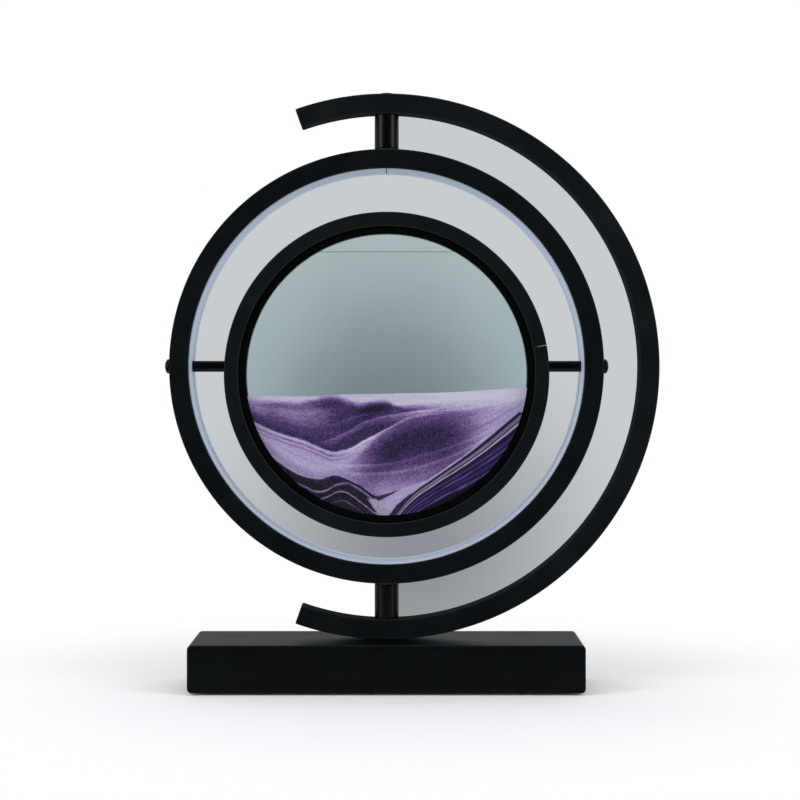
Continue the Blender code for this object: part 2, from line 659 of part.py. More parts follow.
def add_led_strip(side, turn, pivot, material):
    """Half of the light strip: a thin flexible board with a row of light chips facing inwards."""
    outer = WEB_RADIUS - GAP
    face = outer - STRIP_THICKNESS
    end_gap = math.asin((NUT_CORNER + STRIP_END_MARGIN) / WEB_RADIUS)
    first = -QUARTER_TURN + end_gap
    span = 2 * (QUARTER_TURN - end_gap)
    pitch = span / LED_COUNT
    chip = LED_LENGTH / face
    inside = [(face, first)]
    for number in range(LED_COUNT):
        middle = first + (number + 0.5) * pitch
        near, far = middle - chip / 2, middle + chip / 2
        inside += [(face, near), (face - LED_HEIGHT, near), (face - LED_HEIGHT, far), (face, far)]
    inside.append((face, first + span))
    back = [(outer, first + span * (1 - step / LED_COUNT)) for step in range(LED_COUNT + 1)]
    outline = [(radius * math.cos(angle), radius * math.sin(angle)) for radius, angle in inside + back]
    strip = add_object(
        f"led_strip_{side}", plate(outline, STRIP_WIDTH), material, pivot, turn=(0, turn, 0)
    )
    clearance = BUSHING_FLANGE_RADIUS + GAP
    combine(strip, lay_along_x(rod(clearance, face - RING_WIDTH, outer + RING_WALL)))


def add_bushing(side, turn, pivot, nylon):
    """A flanged sleeve in the channel's web for one end of the axle."""
    flange_face = WEB_RADIUS - sagitta(WEB_RADIUS, BUSHING_FLANGE_RADIUS) - GAP
    profile = [
        (BUSHING_BORE, RING_OUTER_RADIUS - GAP),
        (BUSHING_RADIUS, RING_OUTER_RADIUS - GAP),
        (BUSHING_RADIUS, flange_face),
        (BUSHING_FLANGE_RADIUS, flange_face),
        (BUSHING_FLANGE_RADIUS, flange_face - BUSHING_FLANGE_THICKNESS),
        (BUSHING_BORE, flange_face - BUSHING_FLANGE_THICKNESS),
    ]
    shape = lay_along_x(turned(profile, hollow=True))
    add_object(f"{side}_axle_bushing", shape, nylon, pivot, turn=(0, turn, 0))


def add_diffuser(pivot, material):
    """The crowned band that closes the channel, with its seam at the top and a hole for each axle."""
    half = RING_DEPTH / 2 - RING_WALL - GAP
    outer = DIFFUSER_RADIUS + DIFFUSER_THICKNESS
    profile = [
        (DIFFUSER_RADIUS + DIFFUSER_CROWN, -half),
        (outer, -half),
        (outer, half),
        (DIFFUSER_RADIUS + DIFFUSER_CROWN, half),
        (DIFFUSER_RADIUS, half / 3),
        (DIFFUSER_RADIUS, -half / 3),
    ]
    seam = DIFFUSER_SEAM / DIFFUSER_RADIUS
    shape = hoop(profile, QUARTER_TURN + seam / 2, QUARTER_TURN + FULL_TURN - seam / 2, ROUND_STEPS)
    diffuser = add_object("ring_diffuser", shape, material, pivot)
    near = RING_INNER_RADIUS - RING_WIDTH
    combine(diffuser, merge_shapes(axle_cutters(AXLE_RADIUS + GAP, near, WEB_RADIUS)))


def add_sand_disc(pivot, materials):
    """The hoop, the two panes, the seal and what the cell holds."""
    middle = (0, 0, -PIVOT_RISE)
    add_disc_hoop(pivot, middle, materials["paint"])
    pane = rod(glass_radius(), CELL_GAP / 2, GLASS_FACE, steps=ROUND_STEPS)
    bmesh.ops.rotate(pane, matrix=quarter_turn_about_x(), verts=pane.verts)
    rear = pane.copy()
    bmesh.ops.translate(rear, vec=(0, GLASS_FACE + CELL_GAP / 2, 0), verts=rear.verts)
    add_object("front_glass", pane, materials["glass"], pivot, middle)
    add_object("rear_glass", rear, materials["glass"], pivot, middle)
    seal_face = CELL_GAP / 2 - GAP
    seal_rim = glass_radius() - GAP
    profile = [
        (CELL_RADIUS, -seal_face),
        (seal_rim, -seal_face),
        (seal_rim, seal_face),
        (CELL_RADIUS, seal_face),
    ]
    ring = hoop(profile, 0, FULL_TURN, ROUND_STEPS)
    seal = add_object("cell_seal", ring, materials["rubber"], pivot, middle)
    combine(seal, rod(PLUG_RADIUS + GAP, CELL_RADIUS / 2, HOOP_OUTER_RADIUS))
    plug_top = HOOP_OUTER_RADIUS - GAP
    plug_neck = plug_top - PLUG_HEAD_HEIGHT
    plug = turned(
        [
            (0, plug_top),
            (PLUG_HEAD_RADIUS, plug_top),
            (PLUG_HEAD_RADIUS, plug_neck),
            (PLUG_RADIUS, plug_neck),
            (PLUG_RADIUS, CELL_RADIUS + GAP),
            (0, CELL_RADIUS + GAP),
        ],
        SCREW_STEPS,
    )
    add_object("fill_plug", plug, materials["rubber"], pivot, middle)
    add_cell_contents(pivot, middle, materials)


def quarter_turn_about_x():
    """Lays an upright shape's top towards the viewer."""
    return Vector((0, 0, 1)).rotation_difference(Vector((0, -1, 0))).to_matrix()


def add_disc_hoop(pivot, middle, paint):
    """The rolled U-section hoop round the cell, with its butt joint beside the right axle."""
    profile = channel_profile(HOOP_OUTER_RADIUS, HOOP_WALL, HOOP_LIP_RADIUS, HOOP_DEPTH, HOOP_EDGE)
    half_joint = HOOP_JOINT_GAP / HOOP_OUTER_RADIUS / 2
    start = HOOP_JOINT_ANGLE + half_joint
    end = HOOP_JOINT_ANGLE + FULL_TURN - half_joint
    rim = add_object("disc_hoop", hoop(profile, start, end, ROUND_STEPS), paint, pivot, middle)
    near = HOOP_WEB_RADIUS - HOOP_LIP
    far = HOOP_OUTER_RADIUS + HOOP_LIP
    holes = axle_cutters(AXLE_TAP_RADIUS + GAP, near, far)
    for hole in holes:
        bmesh.ops.translate(hole, vec=(0, 0, PIVOT_RISE), verts=hole.verts)
    plug_hole = rod(PLUG_HEAD_RADIUS + GAP, near, far, steps=SCREW_STEPS)
    combine(rim, merge_shapes([*holes, plug_hole]))


def wall_arc(start, end):
    """Points along the cell's wall between two of them, the short way round, without the ends."""
    first, last = (math.atan2(point[1], point[0]) for point in (start, end))
    turn = (last - first + math.pi) % FULL_TURN - math.pi
    count = max(1, round(abs(turn) / WALL_STEP))
    angles = [first + turn * step / count for step in range(1, count)]
    return [Vector((SAND_RADIUS * math.cos(angle), SAND_RADIUS * math.sin(angle))) for angle in angles]


def surface(shares, lift=0.0):
    """A sand surface as smooth points from wall to wall, raised square to itself by a lift."""
    line = smooth_line([Vector(share) * SAND_RADIUS for share in shares])
    raised = []
    for before, point, after in zip(line[:1] + line, line, line[1:] + line[-1:]):
        along = (after - before).normalized()
        raised.append(point + lift * Vector((-along.y, along.x)))
    left, right = (end.normalized() * SAND_RADIUS for end in (raised[0], raised[-1]))
    return [left, *[point for point in raised[1:-1] if point.length < SAND_RADIUS - GAP], right]


def add_cell_contents(pivot, middle, materials):
    """The clear liquid, and the sand as a main bed over a ridge and a slope that slid down before it."""
    top = surface(SAND_TOP)
    ridge = surface(RIDGE_TOP)
    slope = surface(SLOPE_TOP)
    ridge_above = surface(RIDGE_TOP, SAND_PARTING)
    slope_above = surface(SLOPE_TOP, SAND_PARTING)
    bed = (
        top
        + wall_arc(top[-1], slope_above[-1])
        + slope_above[::-1]
        + wall_arc(slope_above[0], ridge_above[-1])
        + ridge_above[::-1]
        + wall_arc(ridge_above[0], top[0])
    )
    outlines = {
        "sand_bed": bed,
        "sand_ridge": ridge + wall_arc(ridge[-1], ridge[0]),
        "sand_slope": slope + wall_arc(slope[-1], slope[0]),
    }
    colours = {"sand_bed": "violet_sand", "sand_ridge": "dark_sand", "sand_slope": "deep_sand"}
    for name, outline in outlines.items():
        add_object(name, plate(outline, SAND_DEPTH), materials[colours[name]], pivot, middle)
    liquid_floor = surface(SAND_TOP, SAND_PARTING)
    half_surface = math.sqrt(SAND_RADIUS**2 - LIQUID_LEVEL**2)
    left, right = Vector((-half_surface, LIQUID_LEVEL)), Vector((half_surface, LIQUID_LEVEL))
    liquid = (
        liquid_floor
        + wall_arc(liquid_floor[-1], right)
        + [right, left]
        + wall_arc(left, liquid_floor[0])
    )
    add_object("liquid", plate(liquid, SAND_DEPTH), materials["liquid"], pivot, middle)


def add_axle(side, turn, pivot, materials):
    """One half of the axle: the rod, its low screw inside the hoop and its domed cap outside the ring."""
    inner_face = HOOP_OUTER_RADIUS + GAP
    outer_face = RING_OUTER_RADIUS
    tap = AXLE_TAP_RADIUS + GAP
    inner_tap = inner_face + AXLE_TAP_DEPTH
    outer_tap = outer_face - AXLE_TAP_DEPTH
    profile = [
        (0, outer_tap),
        (tap, outer_tap),
        (tap, outer_face),
        (AXLE_RADIUS, outer_face),
        (AXLE_RADIUS, inner_face),
        (tap, inner_face),
        (tap, inner_tap),
        (0, inner_tap),
    ]
    shape = lay_along_x(turned(profile))
    add_object(f"{side}_axle_rod", shape, materials["paint"], pivot, turn=(0, turn, 0))
    head_top = axle_screw_seat()
    head_bottom = head_top - AXLE_SCREW_HEAD_HEIGHT
    screw_tip = inner_face + AXLE_SCREW_REACH
    screw = [
        (0, screw_tip),
        (AXLE_TAP_RADIUS, screw_tip),
        (AXLE_TAP_RADIUS, head_top),
        (AXLE_SCREW_HEAD_RADIUS, head_top),
        (AXLE_SCREW_HEAD_RADIUS, head_bottom),
        (0, head_bottom),
    ]
    shape = lay_along_x(turned(screw, SCREW_STEPS))
    add_object(f"{side}_axle_screw", shape, materials["steel"], pivot, turn=(0, turn, 0))
    foot = outer_face + GAP
    shoulder = foot + CAP_SHOULDER
    dome = [
        (CAP_RADIUS * math.cos(angle), shoulder + CAP_DOME * math.sin(angle))
        for angle in (QUARTER_TURN * step / 5 for step in range(5))
    ]
    cap = [
        (0, shoulder + CAP_DOME),
        *reversed(dome),
        (CAP_RADIUS, foot),
        (AXLE_TAP_RADIUS, foot),
        (AXLE_TAP_RADIUS, outer_face - AXLE_SCREW_REACH),
        (0, outer_face - AXLE_SCREW_REACH),
    ]
    shape = lay_along_x(turned(cap))
    add_object(f"{side}_axle_cap", shape, materials["paint"], pivot, turn=(0, turn, 0))


def make_materials():
    """The finishes, by the names the pieces ask for."""
    return {
        "paint": finish("black_powder_coat", (0.008, 0.010, 0.011), 0.5),
        "steel": finish("zinc_plated_steel", (0.55, 0.56, 0.57), 0.35, 1.0),
        "bright": finish("nickel_plate", (0.7, 0.69, 0.66), 0.25, 1.0),
        "board": finish("circuit_board", (0.02, 0.12, 0.05), 0.5),
        "cable": finish("cable_sleeve", (0.75, 0.75, 0.73), 0.5),
        "foam": finish("black_foam", (0.015, 0.015, 0.016), 0.9),
        "nylon": finish("nylon", (0.62, 0.63, 0.62), 0.45),
        "strip": finish("light_strip", (0.85, 0.84, 0.78), 0.5),
        "diffuser": finish("frosted_band", (0.55, 0.62, 0.76), 0.45),
        "rubber": finish("black_rubber", (0.006, 0.006, 0.007), 0.3),
        "glass": finish("pale_green_glass", (0.80, 0.90, 0.88), 0.03, alpha=0.2),
        "liquid": finish("clear_liquid", (0.70, 0.80, 0.80), 0.05, alpha=0.2),
        "violet_sand": finish("violet_and_white_sand", (0.24, 0.17, 0.40), 0.85),
        "dark_sand": finish("black_and_violet_sand", (0.05, 0.03, 0.08), 0.85),
        "deep_sand": finish("deep_violet_sand", (0.12, 0.06, 0.28), 0.85),
    }


def main():
    """Builds the lamp from the base up."""
    for obj in list(bpy.data.objects):
        bpy.data.objects.remove(obj, do_unlink=True)
    materials = make_materials()
    add_base_housing(materials["paint"])
    add_bottom_plate(materials["steel"])
    add_base_fittings(materials)
    add_lighting_parts(materials)
    add_arm(materials["paint"])
    add_posts(materials)
    ring_pivot = add_pivot("ring_pivot", (0, 0, CENTRE_Z))
    add_light_ring(ring_pivot, materials)
    disc_pivot = add_pivot("disc_pivot", (0, 0, 0), ring_pivot)
    add_sand_disc(disc_pivot, materials)
    for side, turn in (("right", 0), ("left", math.pi)):
        add_axle(side, turn, disc_pivot, materials)


main()
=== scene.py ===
"""Looks of the moving sand art lamp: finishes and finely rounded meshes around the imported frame.

Lengths are metres in the frame's axes: +Z up, +X to the viewer's right, -Y towards the viewer. Surface
patterns are worked out in millimetres from each piece's own origin.
"""

import json
import logging
import math
from abc import ABC, abstractmethod
from collections.abc import Sequence
from dataclasses import dataclass, field
from enum import Enum

import bmesh
import bpy
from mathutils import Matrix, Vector

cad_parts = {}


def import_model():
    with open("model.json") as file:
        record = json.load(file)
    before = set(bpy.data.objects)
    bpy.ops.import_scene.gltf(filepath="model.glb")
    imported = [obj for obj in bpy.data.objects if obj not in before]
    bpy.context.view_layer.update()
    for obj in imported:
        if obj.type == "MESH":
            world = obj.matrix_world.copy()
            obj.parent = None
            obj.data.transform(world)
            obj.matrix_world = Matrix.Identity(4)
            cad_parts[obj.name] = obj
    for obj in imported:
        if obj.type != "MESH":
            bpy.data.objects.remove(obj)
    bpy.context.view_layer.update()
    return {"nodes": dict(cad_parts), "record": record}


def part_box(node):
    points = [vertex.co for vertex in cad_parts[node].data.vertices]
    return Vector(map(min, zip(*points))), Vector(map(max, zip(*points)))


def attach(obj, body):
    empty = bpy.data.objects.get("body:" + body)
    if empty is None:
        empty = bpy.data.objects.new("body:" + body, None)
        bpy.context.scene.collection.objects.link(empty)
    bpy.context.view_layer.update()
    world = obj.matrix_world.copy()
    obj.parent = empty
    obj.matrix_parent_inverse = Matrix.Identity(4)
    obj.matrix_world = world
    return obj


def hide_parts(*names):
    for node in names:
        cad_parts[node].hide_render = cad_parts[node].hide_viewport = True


LOG = logging.getLogger("sand_lamp")
MM = 0.001
TAU = 2 * math.pi
QUARTER = math.pi / 2
SHARP_ANGLE = math.radians(38)
FULL_BEND = math.radians(16)
EDGE = "edge"  # how far the surface bends outwards, kept on each point
EASE_STEPS = 5  # facets of a rounded edge
FLAT_START = 1.25  # where a flat begins beside a rounding, as a share of the rounding's length
LIP_SHARE = 0.35  # rounding of a channel's lips, as a share of its wall
RING_STEPS, ARM_STEPS, PANE_STEPS = 288, 260, 240  # facets round the large pieces
POST_STEPS, PIN_STEPS, HOLE_STEPS, PLUG_STEPS = 96, 64, 48, 40  # facets round the small ones
PANE_SHARE = (0.69, 0.765, 0.785)  # light that comes back from the sand through the front pane
PALEST = 0.95  # the most light that a grain sends back
WHITE = (1.0, 1.0, 1.0)
CLOUD_SPREAD = (0.3, 0.7)  # where most of a soft cloud's values lie

Colour = tuple[float, float, float]
Point = tuple[float, float]
Corner = tuple[float, float, float]
Line = tuple[Point, ...]
Stops = Sequence[tuple[float, Colour]]
Shape = bmesh.types.BMesh


class Body(Enum):
    """The bodies that pieces ride on."""

    STAND = "stand"
    RING = "light_ring"
    DISC = "sand_disc"


class Axis(Enum):
    """The direction that a turned piece points in."""

    X = "x"
    MINUS_X = "-x"
    Y = "y"
    Z = "z"

    def lay(self, one: float, two: float, along: float) -> Vector:
        """A point from its two places across this axis and its place along it."""
        places = {Axis.X: (along, one, two), Axis.MINUS_X: (-along, two, one), Axis.Y: (two, along, one)}
        return Vector(places.get(self, (one, two, along)))


class Side(Enum):
    """The two ends of the level axle."""

    RIGHT = "right"
    LEFT = "left"

    @property
    def axis(self) -> Axis:
        """The way that this end points."""
        return Axis.X if self is Side.RIGHT else Axis.MINUS_X


def screen(red: int, green: int, blue: int) -> Colour:
    """Turns a colour's levels on a screen, 0 to 255, into light values."""
    shares = [level / 255 for level in (red, green, blue)]
    return tuple(share / 12.92 if share <= 0.04045 else ((share + 0.055) / 1.055) ** 2.4 for share in shares)


def dimmed(colour: Colour, share: float) -> Colour:
    """A colour times a share."""
    return tuple(level * share for level in colour)


def palette(*stops: tuple[float, int, int, int]) -> Stops:
    """A ramp for sand whose colours are given as they are seen through the front pane.

    Args:
        stops: each place on the ramp, with its red, green and blue level on a screen.

    Returns:
        The places with the sand's own light values.
    """
    ramp = []
    for place, *levels in stops:
        seen = zip(screen(*levels), PANE_SHARE)
        ramp.append((place, tuple(min(level / share, PALEST) for level, share in seen)))
    return tuple(ramp)


class Value:
    """A shader socket that Python's arithmetic builds on."""

    def __init__(self, graph: "Graph", socket: bpy.types.NodeSocket) -> None:
        """Keeps the socket and the graph that it belongs to."""
        self.graph = graph
        self.socket = socket

    def sibling(self, name: str) -> "Value":
        """Another output of the same node."""
        return Value(self.graph, self.socket.node.outputs[name])

    def toward(self, aim: "Value | float", share: "Value") -> "Value":
        """This value, drawn towards another by a share."""
        return self + (aim - self) * share

    def __add__(self, other: "Value | float") -> "Value":
        """Sum."""
        return self.graph.math("ADD", self, other)

    __radd__ = __add__

    def __sub__(self, other: "Value | float") -> "Value":
        """Difference."""
        return self.graph.math("SUBTRACT", self, other)

    def __rsub__(self, other: float) -> "Value":
        """Difference from a number."""
        return self.graph.math("SUBTRACT", other, self)

    def __mul__(self, other: "Value | float") -> "Value":
        """Product."""
        return self.graph.math("MULTIPLY", self, other)

    __rmul__ = __mul__

    def __truediv__(self, other: "Value | float") -> "Value":
        """Quotient."""
        return self.graph.math("DIVIDE", self, other)

    def __rtruediv__(self, other: float) -> "Value":
        """Quotient of a number."""
        return self.graph.math("DIVIDE", other, self)

    def __abs__(self) -> "Value":
        """Size without sign."""
        return self.graph.math("ABSOLUTE", self)


class Graph:
    """A node tree under construction."""

    def __init__(self, tree: bpy.types.NodeTree) -> None:
        """Empties the tree."""
        tree.nodes.clear()
        self.tree = tree

    def add(
        self,
        kind: str,
        settings: dict[str, object] | None = None,
        inputs: dict[str | int, object] | None = None,
        out: str | int = 0,
    ) -> Value | None:
        """Adds a node of any kind.

        Args:
            kind: the node's type, without its prefix.
            settings: properties, set first; stops fills a colour ramp and points a curve.
            inputs: numbers, colours or links, by the socket's name or place.
            out: the output that is handed back.

        Returns:
            The chosen output, or None for a node that has none.
        """
        node = self.tree.nodes.new("ShaderNode" + kind)
        for name, setting in (settings or {}).items():
            if name == "stops":
                self.fill_ramp(node.color_ramp, setting)
            elif name == "points":
                self.fill_curve(node.mapping, setting)
            else:
                setattr(node, name, setting)
        for name, given in (inputs or {}).items():
            socket = node.inputs[name]
            if isinstance(given, Value):
                self.tree.links.new(given.socket, socket)
            else:
                socket.default_value = (*given, 1) if socket.type == "RGBA" else given
        return Value(self, node.outputs[out]) if node.outputs else None

    @staticmethod
    def fill_ramp(ramp: bpy.types.ColorRamp, stops: Stops) -> None:
        """Sets a ramp's stops.

        Args:
            ramp: the ramp.
            stops: its places and colours, in rising order.
        """
        while len(ramp.elements) < len(stops):
            ramp.elements.new(1)
        for element, (place, colour) in zip(ramp.elements, stops):
            element.position = place
            element.color = (*colour, 1)

    @staticmethod
    def fill_curve(mapping: bpy.types.CurveMapping, points: Sequence[Point]) -> None:
        """Sets a curve's points.

        Args:
            mapping: the curve's mapping.
            points: its points, in rising order.
        """
        curve = mapping.curves[0]
        curve.points[0].location = points[0]
        curve.points[1].location = points[-1]
        for place in points[1:-1]:
            curve.points.new(*place)
        mapping.update()

    def math(self, operation: str, *terms: Value | float) -> Value:
        """A Math node on values and numbers."""
        return self.add("Math", {"operation": operation}, dict(enumerate(terms)))

    def spot(self) -> Value:
        """The surface point, in millimetres from the piece's origin."""
        place = self.add("TexCoord", out="Object")
        return self.add("VectorMath", {"operation": "SCALE"}, {"Vector": place, "Scale": 1 / MM})

    def vector(self, across: Value, along: Value) -> Value:
        """A vector from two parts."""
        return self.add("CombineXYZ", None, {"X": across, "Y": along})

    def part(self, vector: Value, name: str) -> Value:
        """One part of a vector, with the others as its siblings."""
        return self.add("SeparateXYZ", None, {"Vector": vector}, name)

    def length(self, across: Value, up: Value) -> Value:
        """How long a flat offset is."""
        return self.math("SQRT", across * across + up * up)

    def noise(self, place: Value, scale: float, detail: float = 2.0, roughness: float = 0.5) -> Value:
        """Soft clouds from 0 to 1 at so many per unit of the place."""
        inputs = {"Vector": place, "Scale": scale, "Detail": detail, "Roughness": roughness}
        return self.add("TexNoise", None, inputs, "Fac")

    def streaks(self, across: Value, along: Value, detail: float = 2.0, roughness: float = 0.5) -> Value:
        """Clouds from -0.5 to 0.5 over two places, drawn out where a place changes slowly."""
        return self.noise(self.vector(across, along), 1.0, detail, roughness) - 0.5

    def grain(self, place: Value, size: float) -> Value:
        """A random share for each grain of a given size."""
        cells = self.add("TexVoronoi", None, {"Vector": place, "Scale": 1 / size}, "Color")
        return self.add("SeparateColor", None, {"Color": cells}, "Red")

    def ease(self, value: Value, start: float, end: float) -> Value:
        """A soft step from 0 at the start to 1 at the end."""
        inputs = {"Value": value, "From Min": start, "From Max": end}
        return self.add("MapRange", {"interpolation_type": "SMOOTHSTEP"}, inputs)

    def near(self, value: Value, reach: float) -> Value:
        """A soft peak of 1 where the value is 0, gone at a reach on either side."""
        return self.ease(abs(value), reach, 0)

    def blend(self, share: Value, first: Value | Colour, second: Value | Colour) -> Value:
        """Mixes two colours."""
        return self.add("Mix", {"data_type": "RGBA"}, {0: share, 6: first, 7: second}, 2)

    def tones(self, share: Value, colour: Colour, low: float, high: float) -> Value:
        """A colour that goes from a lower to a higher share of itself."""
        return self.blend(share, dimmed(colour, low), dimmed(colour, high))

    def ramp(self, share: Value, stops: Stops) -> Value:
        """A colour from a ramp."""
        return self.add("ValToRGB", {"stops": stops}, {"Fac": share}, "Color")

    def bump(self, height: Value, depth: float) -> Value:
        """A normal from heights of 0 to 1 over a depth in millimetres."""
        return self.add("Bump", None, {"Height": height, "Strength": 1.0, "Distance": depth * MM})

    def clear(self, tint: Colour) -> Value:
        """A clear film of one tint."""
        return self.add("BsdfTransparent", None, {"Color": tint})

    def mix(self, share: Value, first: Value, second: Value) -> Value:
        """Mixes two shaders."""
        return self.add("MixShader", None, {0: share, 1: first, 2: second})

    def principled(
        self, colour: Value, roughness: Value, normal: Value, specular: float = 0.5, metallic: float = 0.0
    ) -> Value:
        """A Principled shader from what changes over its surface and what doesn't."""
        inputs = {"Base Color": colour, "Metallic": metallic, "Roughness": roughness, "Normal": normal}
        return self.add("BsdfPrincipled", None, inputs | {"Specular IOR Level": specular})


@dataclass(frozen=True)
class Finish(ABC):
    """A surface that becomes one Blender material."""

    name: str

    @abstractmethod
    def shade(self, graph: Graph) -> Value:
        """Builds the finish.

        Args:
            graph: the tree that takes the nodes.

        Returns:
            The shader.
        """

    def material(self) -> bpy.types.Material:
        """Makes the material when it is first asked for.

        Returns:
            The finish's one material.
        """
        made = bpy.data.materials.get(self.name)
        if made is None:
            made = bpy.data.materials.new(self.name)
            made.use_nodes = True
            graph = Graph(made.node_tree)
            graph.add("OutputMaterial", None, {"Surface": self.shade(graph)})
        return made


@dataclass(frozen=True)
class Coating(Finish):
    """A paint or moulded surface: fine grain, soft tone clouds, a little relief, edges of wear and painted
    highlight.
    """

    colour: Colour
    roughness: float
    grain: float = 0.6
    relief: float = 0.012
    specular: float = 0.5
    variation: float = 0.22
    rubbed_and_highlit: Colour | None = None
    clouds: float = 0.05  # per millimetre, as in the other finishes
    cloud_share: float = 0.7
    cloud_gloss: float = 0.12
    grain_gloss: float = 0.08
    wear_and_highlight_bend: Point = (0.55, 1.0)
    wear_and_highlight_patches: float = 0.16
    wear_and_highlight_share: Point = (0.45, 0.9)  # how far every edge is lightened, and how much more in patches, by wear and painted highlight
    wear_and_highlight_gloss: float = 0.1

    def shade(self, graph: Graph) -> Value:
        """Lays a fine peel over broad, faint changes of tone and gloss.

        Args:
            graph: the tree that takes the nodes.

        Returns:
            The shader.
        """
        spot = graph.spot()
        peel, cloud = (graph.noise(spot, scale, 3) for scale in (1 / self.grain, self.clouds))
        share = cloud * self.cloud_share + peel * (1 - self.cloud_share)
        tones = (1 - self.variation, 1 + self.variation)
        colour = graph.tones(graph.ease(share, *CLOUD_SPREAD), self.colour, *tones)
        roughness = self.roughness + (cloud - 0.5) * self.cloud_gloss + (peel - 0.5) * self.grain_gloss
        # wear and painted highlight: edges that bend outwards are lightened, more in patches
        if self.rubbed_and_highlit:
            bend = graph.add("Attribute", {"attribute_name": EDGE}, None, "Fac")
            least, more = self.wear_and_highlight_share
            patches = least + graph.noise(spot, self.wear_and_highlight_patches, 4) * more
            wear_and_highlight = graph.ease(bend, *self.wear_and_highlight_bend) * patches
            colour = graph.blend(wear_and_highlight, colour, self.rubbed_and_highlit)
            roughness = roughness - wear_and_highlight * self.wear_and_highlight_gloss
        return graph.principled(colour, roughness, graph.bump(peel, self.relief), self.specular)


@dataclass(frozen=True)
class Metal(Finish):
    """Plated metal with faint drawing marks and clouded plating."""

    colour: Colour
    roughness: float
    marks: Corner = (6.0, 6.0, 0.25)
    clouds: float = 0.25
    tones: Point = (0.82, 1.06)
    mark_gloss: float = 0.22
    cloud_gloss: float = 0.1
    relief: float = 0.004

    def shade(self, graph: Graph) -> Value:
        """Draws long fine marks over soft clouds.

        Args:
            graph: the tree that takes the nodes.

        Returns:
            The shader.
        """
        spot = graph.spot()
        drawn = graph.add("VectorMath", {"operation": "MULTIPLY"}, {0: spot, 1: self.marks})
        marks, cloud = graph.noise(drawn, 1.0, 4), graph.noise(spot, self.clouds, 3)
        colour = graph.tones(graph.ease(cloud, *CLOUD_SPREAD), self.colour, *self.tones)
        roughness = self.roughness + (marks - 0.5) * self.mark_gloss + (cloud - 0.5) * self.cloud_gloss
        return graph.principled(colour, roughness, graph.bump(marks, self.relief), metallic=1.0)


@dataclass(frozen=True)
class Foam(Finish):
    """Closed-cell foam with a skin of small dimples, darker towards their middles as painted shade."""

    colour: Colour
    roughness: float = 0.86
    cells: float = 1.3
    cell_spread: Point = (0.1, 0.6)
    tones: Point = (0.6, 1.5)
    clouds: float = 0.12
    cloud_gloss: float = 0.12
    relief: float = 0.12
    specular: float = 0.25

    def shade(self, graph: Graph) -> Value:
        """Presses dimples of mixed size, with painted shade in them.

        Args:
            graph: the tree that takes the nodes.

        Returns:
            The shader.
        """
        spot = graph.spot()
        inputs = {"Vector": spot, "Scale": self.cells}
        cells = graph.add("TexVoronoi", {"feature": "SMOOTH_F1"}, inputs, "Distance")
        # painted shade: darker towards each dimple's middle, where the bump sinks
        colour = graph.tones(graph.ease(cells, *self.cell_spread), self.colour, *self.tones)
        roughness = self.roughness + (graph.noise(spot, self.clouds, 3) - 0.5) * self.cloud_gloss
        return graph.principled(colour, roughness, graph.bump(cells, self.relief), self.specular)


@dataclass(frozen=True)
class CircuitBoard(Finish):
    """Green solder mask over faint copper tracks."""

    mask: Colour
    copper: Colour
    pitch: float = 2.2
    track: float = 0.09
    darker: float = 0.8
    roughness: float = 0.4
    clouds: float = 0.3
    cloud_gloss: float = 0.2
    relief: float = 0.02

    def shade(self, graph: Graph) -> Value:
        """Lays the tracks as the thin joints of a brick pattern.

        Args:
            graph: the tree that takes the nodes.

        Returns:
            The shader.
        """
        spot = graph.spot()
        inputs = {"Vector": spot, "Scale": 1 / self.pitch, "Mortar Size": self.track, "Mortar": self.copper}
        inputs |= {"Color1": self.mask, "Color2": dimmed(self.mask, self.darker)}
        tracks = graph.add("TexBrick", None, inputs, "Color")
        cloud = graph.noise(spot, self.clouds, 3)
        roughness = self.roughness + (cloud - 0.5) * self.cloud_gloss
        return graph.principled(tracks, roughness, graph.bump(cloud, self.relief))


@dataclass(frozen=True)
class FrostedBand(Finish):
    """A milky band: bluest in its middle, with painted shade greying its front edge and painted light paling
    its back edge.
    """

    front: Colour
    middle: Colour
    back: Colour
    half_width: float
    even: Point = (0.3, 0.62)  # where the middle colour starts and ends, as shares of the width
    roughness: float = 0.42
    clouds: float = 0.35
    cloud_drift: float = 0.06
    cloud_gloss: float = 0.1
    frost: float = 3.0
    relief: float = 0.006
    specular: float = 0.4

    def shade(self, graph: Graph) -> Value:
        """Colours the band by depth as painted shade and light, with a faint mottle.

        Args:
            graph: the tree that takes the nodes.

        Returns:
            The shader.
        """
        spot = graph.spot()
        mottle = graph.noise(spot, self.clouds, 4)
        share = graph.part(spot, "Y") / (2 * self.half_width) + 0.5 + (mottle - 0.5) * self.cloud_drift
        # painted shade at the front edge, next to the rim, and painted light at the back edge
        stops = ((0.0, self.front), *((place, self.middle) for place in self.even), (1.0, self.back))
        frost = graph.bump(graph.noise(spot, self.frost, 2), self.relief)
        roughness = self.roughness + (mottle - 0.5) * self.cloud_gloss
        return graph.principled(graph.ramp(share, stops), roughness, frost, self.specular)


@dataclass(frozen=True)
class ClearSheet(Finish):
    """Clear glass: a tint that lets light through, under a thin gloss."""

    clear: Colour
    smudged: Colour
    gloss: float
    roughness: float = 0.02
    clouds: float = 0.03
    cloud_spread: Point = (0.25, 0.75)
    edge_blend: float = 0.5

    def shade(self, graph: Graph) -> Value:
        """Varies the tint a little, with reflection that grows towards the edge of view.

        Args:
            graph: the tree that takes the nodes.

        Returns:
            The shader.
        """
        cloud = graph.ease(graph.noise(graph.spot(), self.clouds, 2), *self.cloud_spread)
        through = graph.mix(cloud, graph.clear(self.clear), graph.clear(self.smudged))
        mirror = graph.add("BsdfGlossy", None, {"Color": WHITE, "Roughness": self.roughness})
        facing = graph.add("LayerWeight", None, {"Blend": self.edge_blend}, "Fresnel")
        return graph.mix(facing * self.gloss, through, mirror)


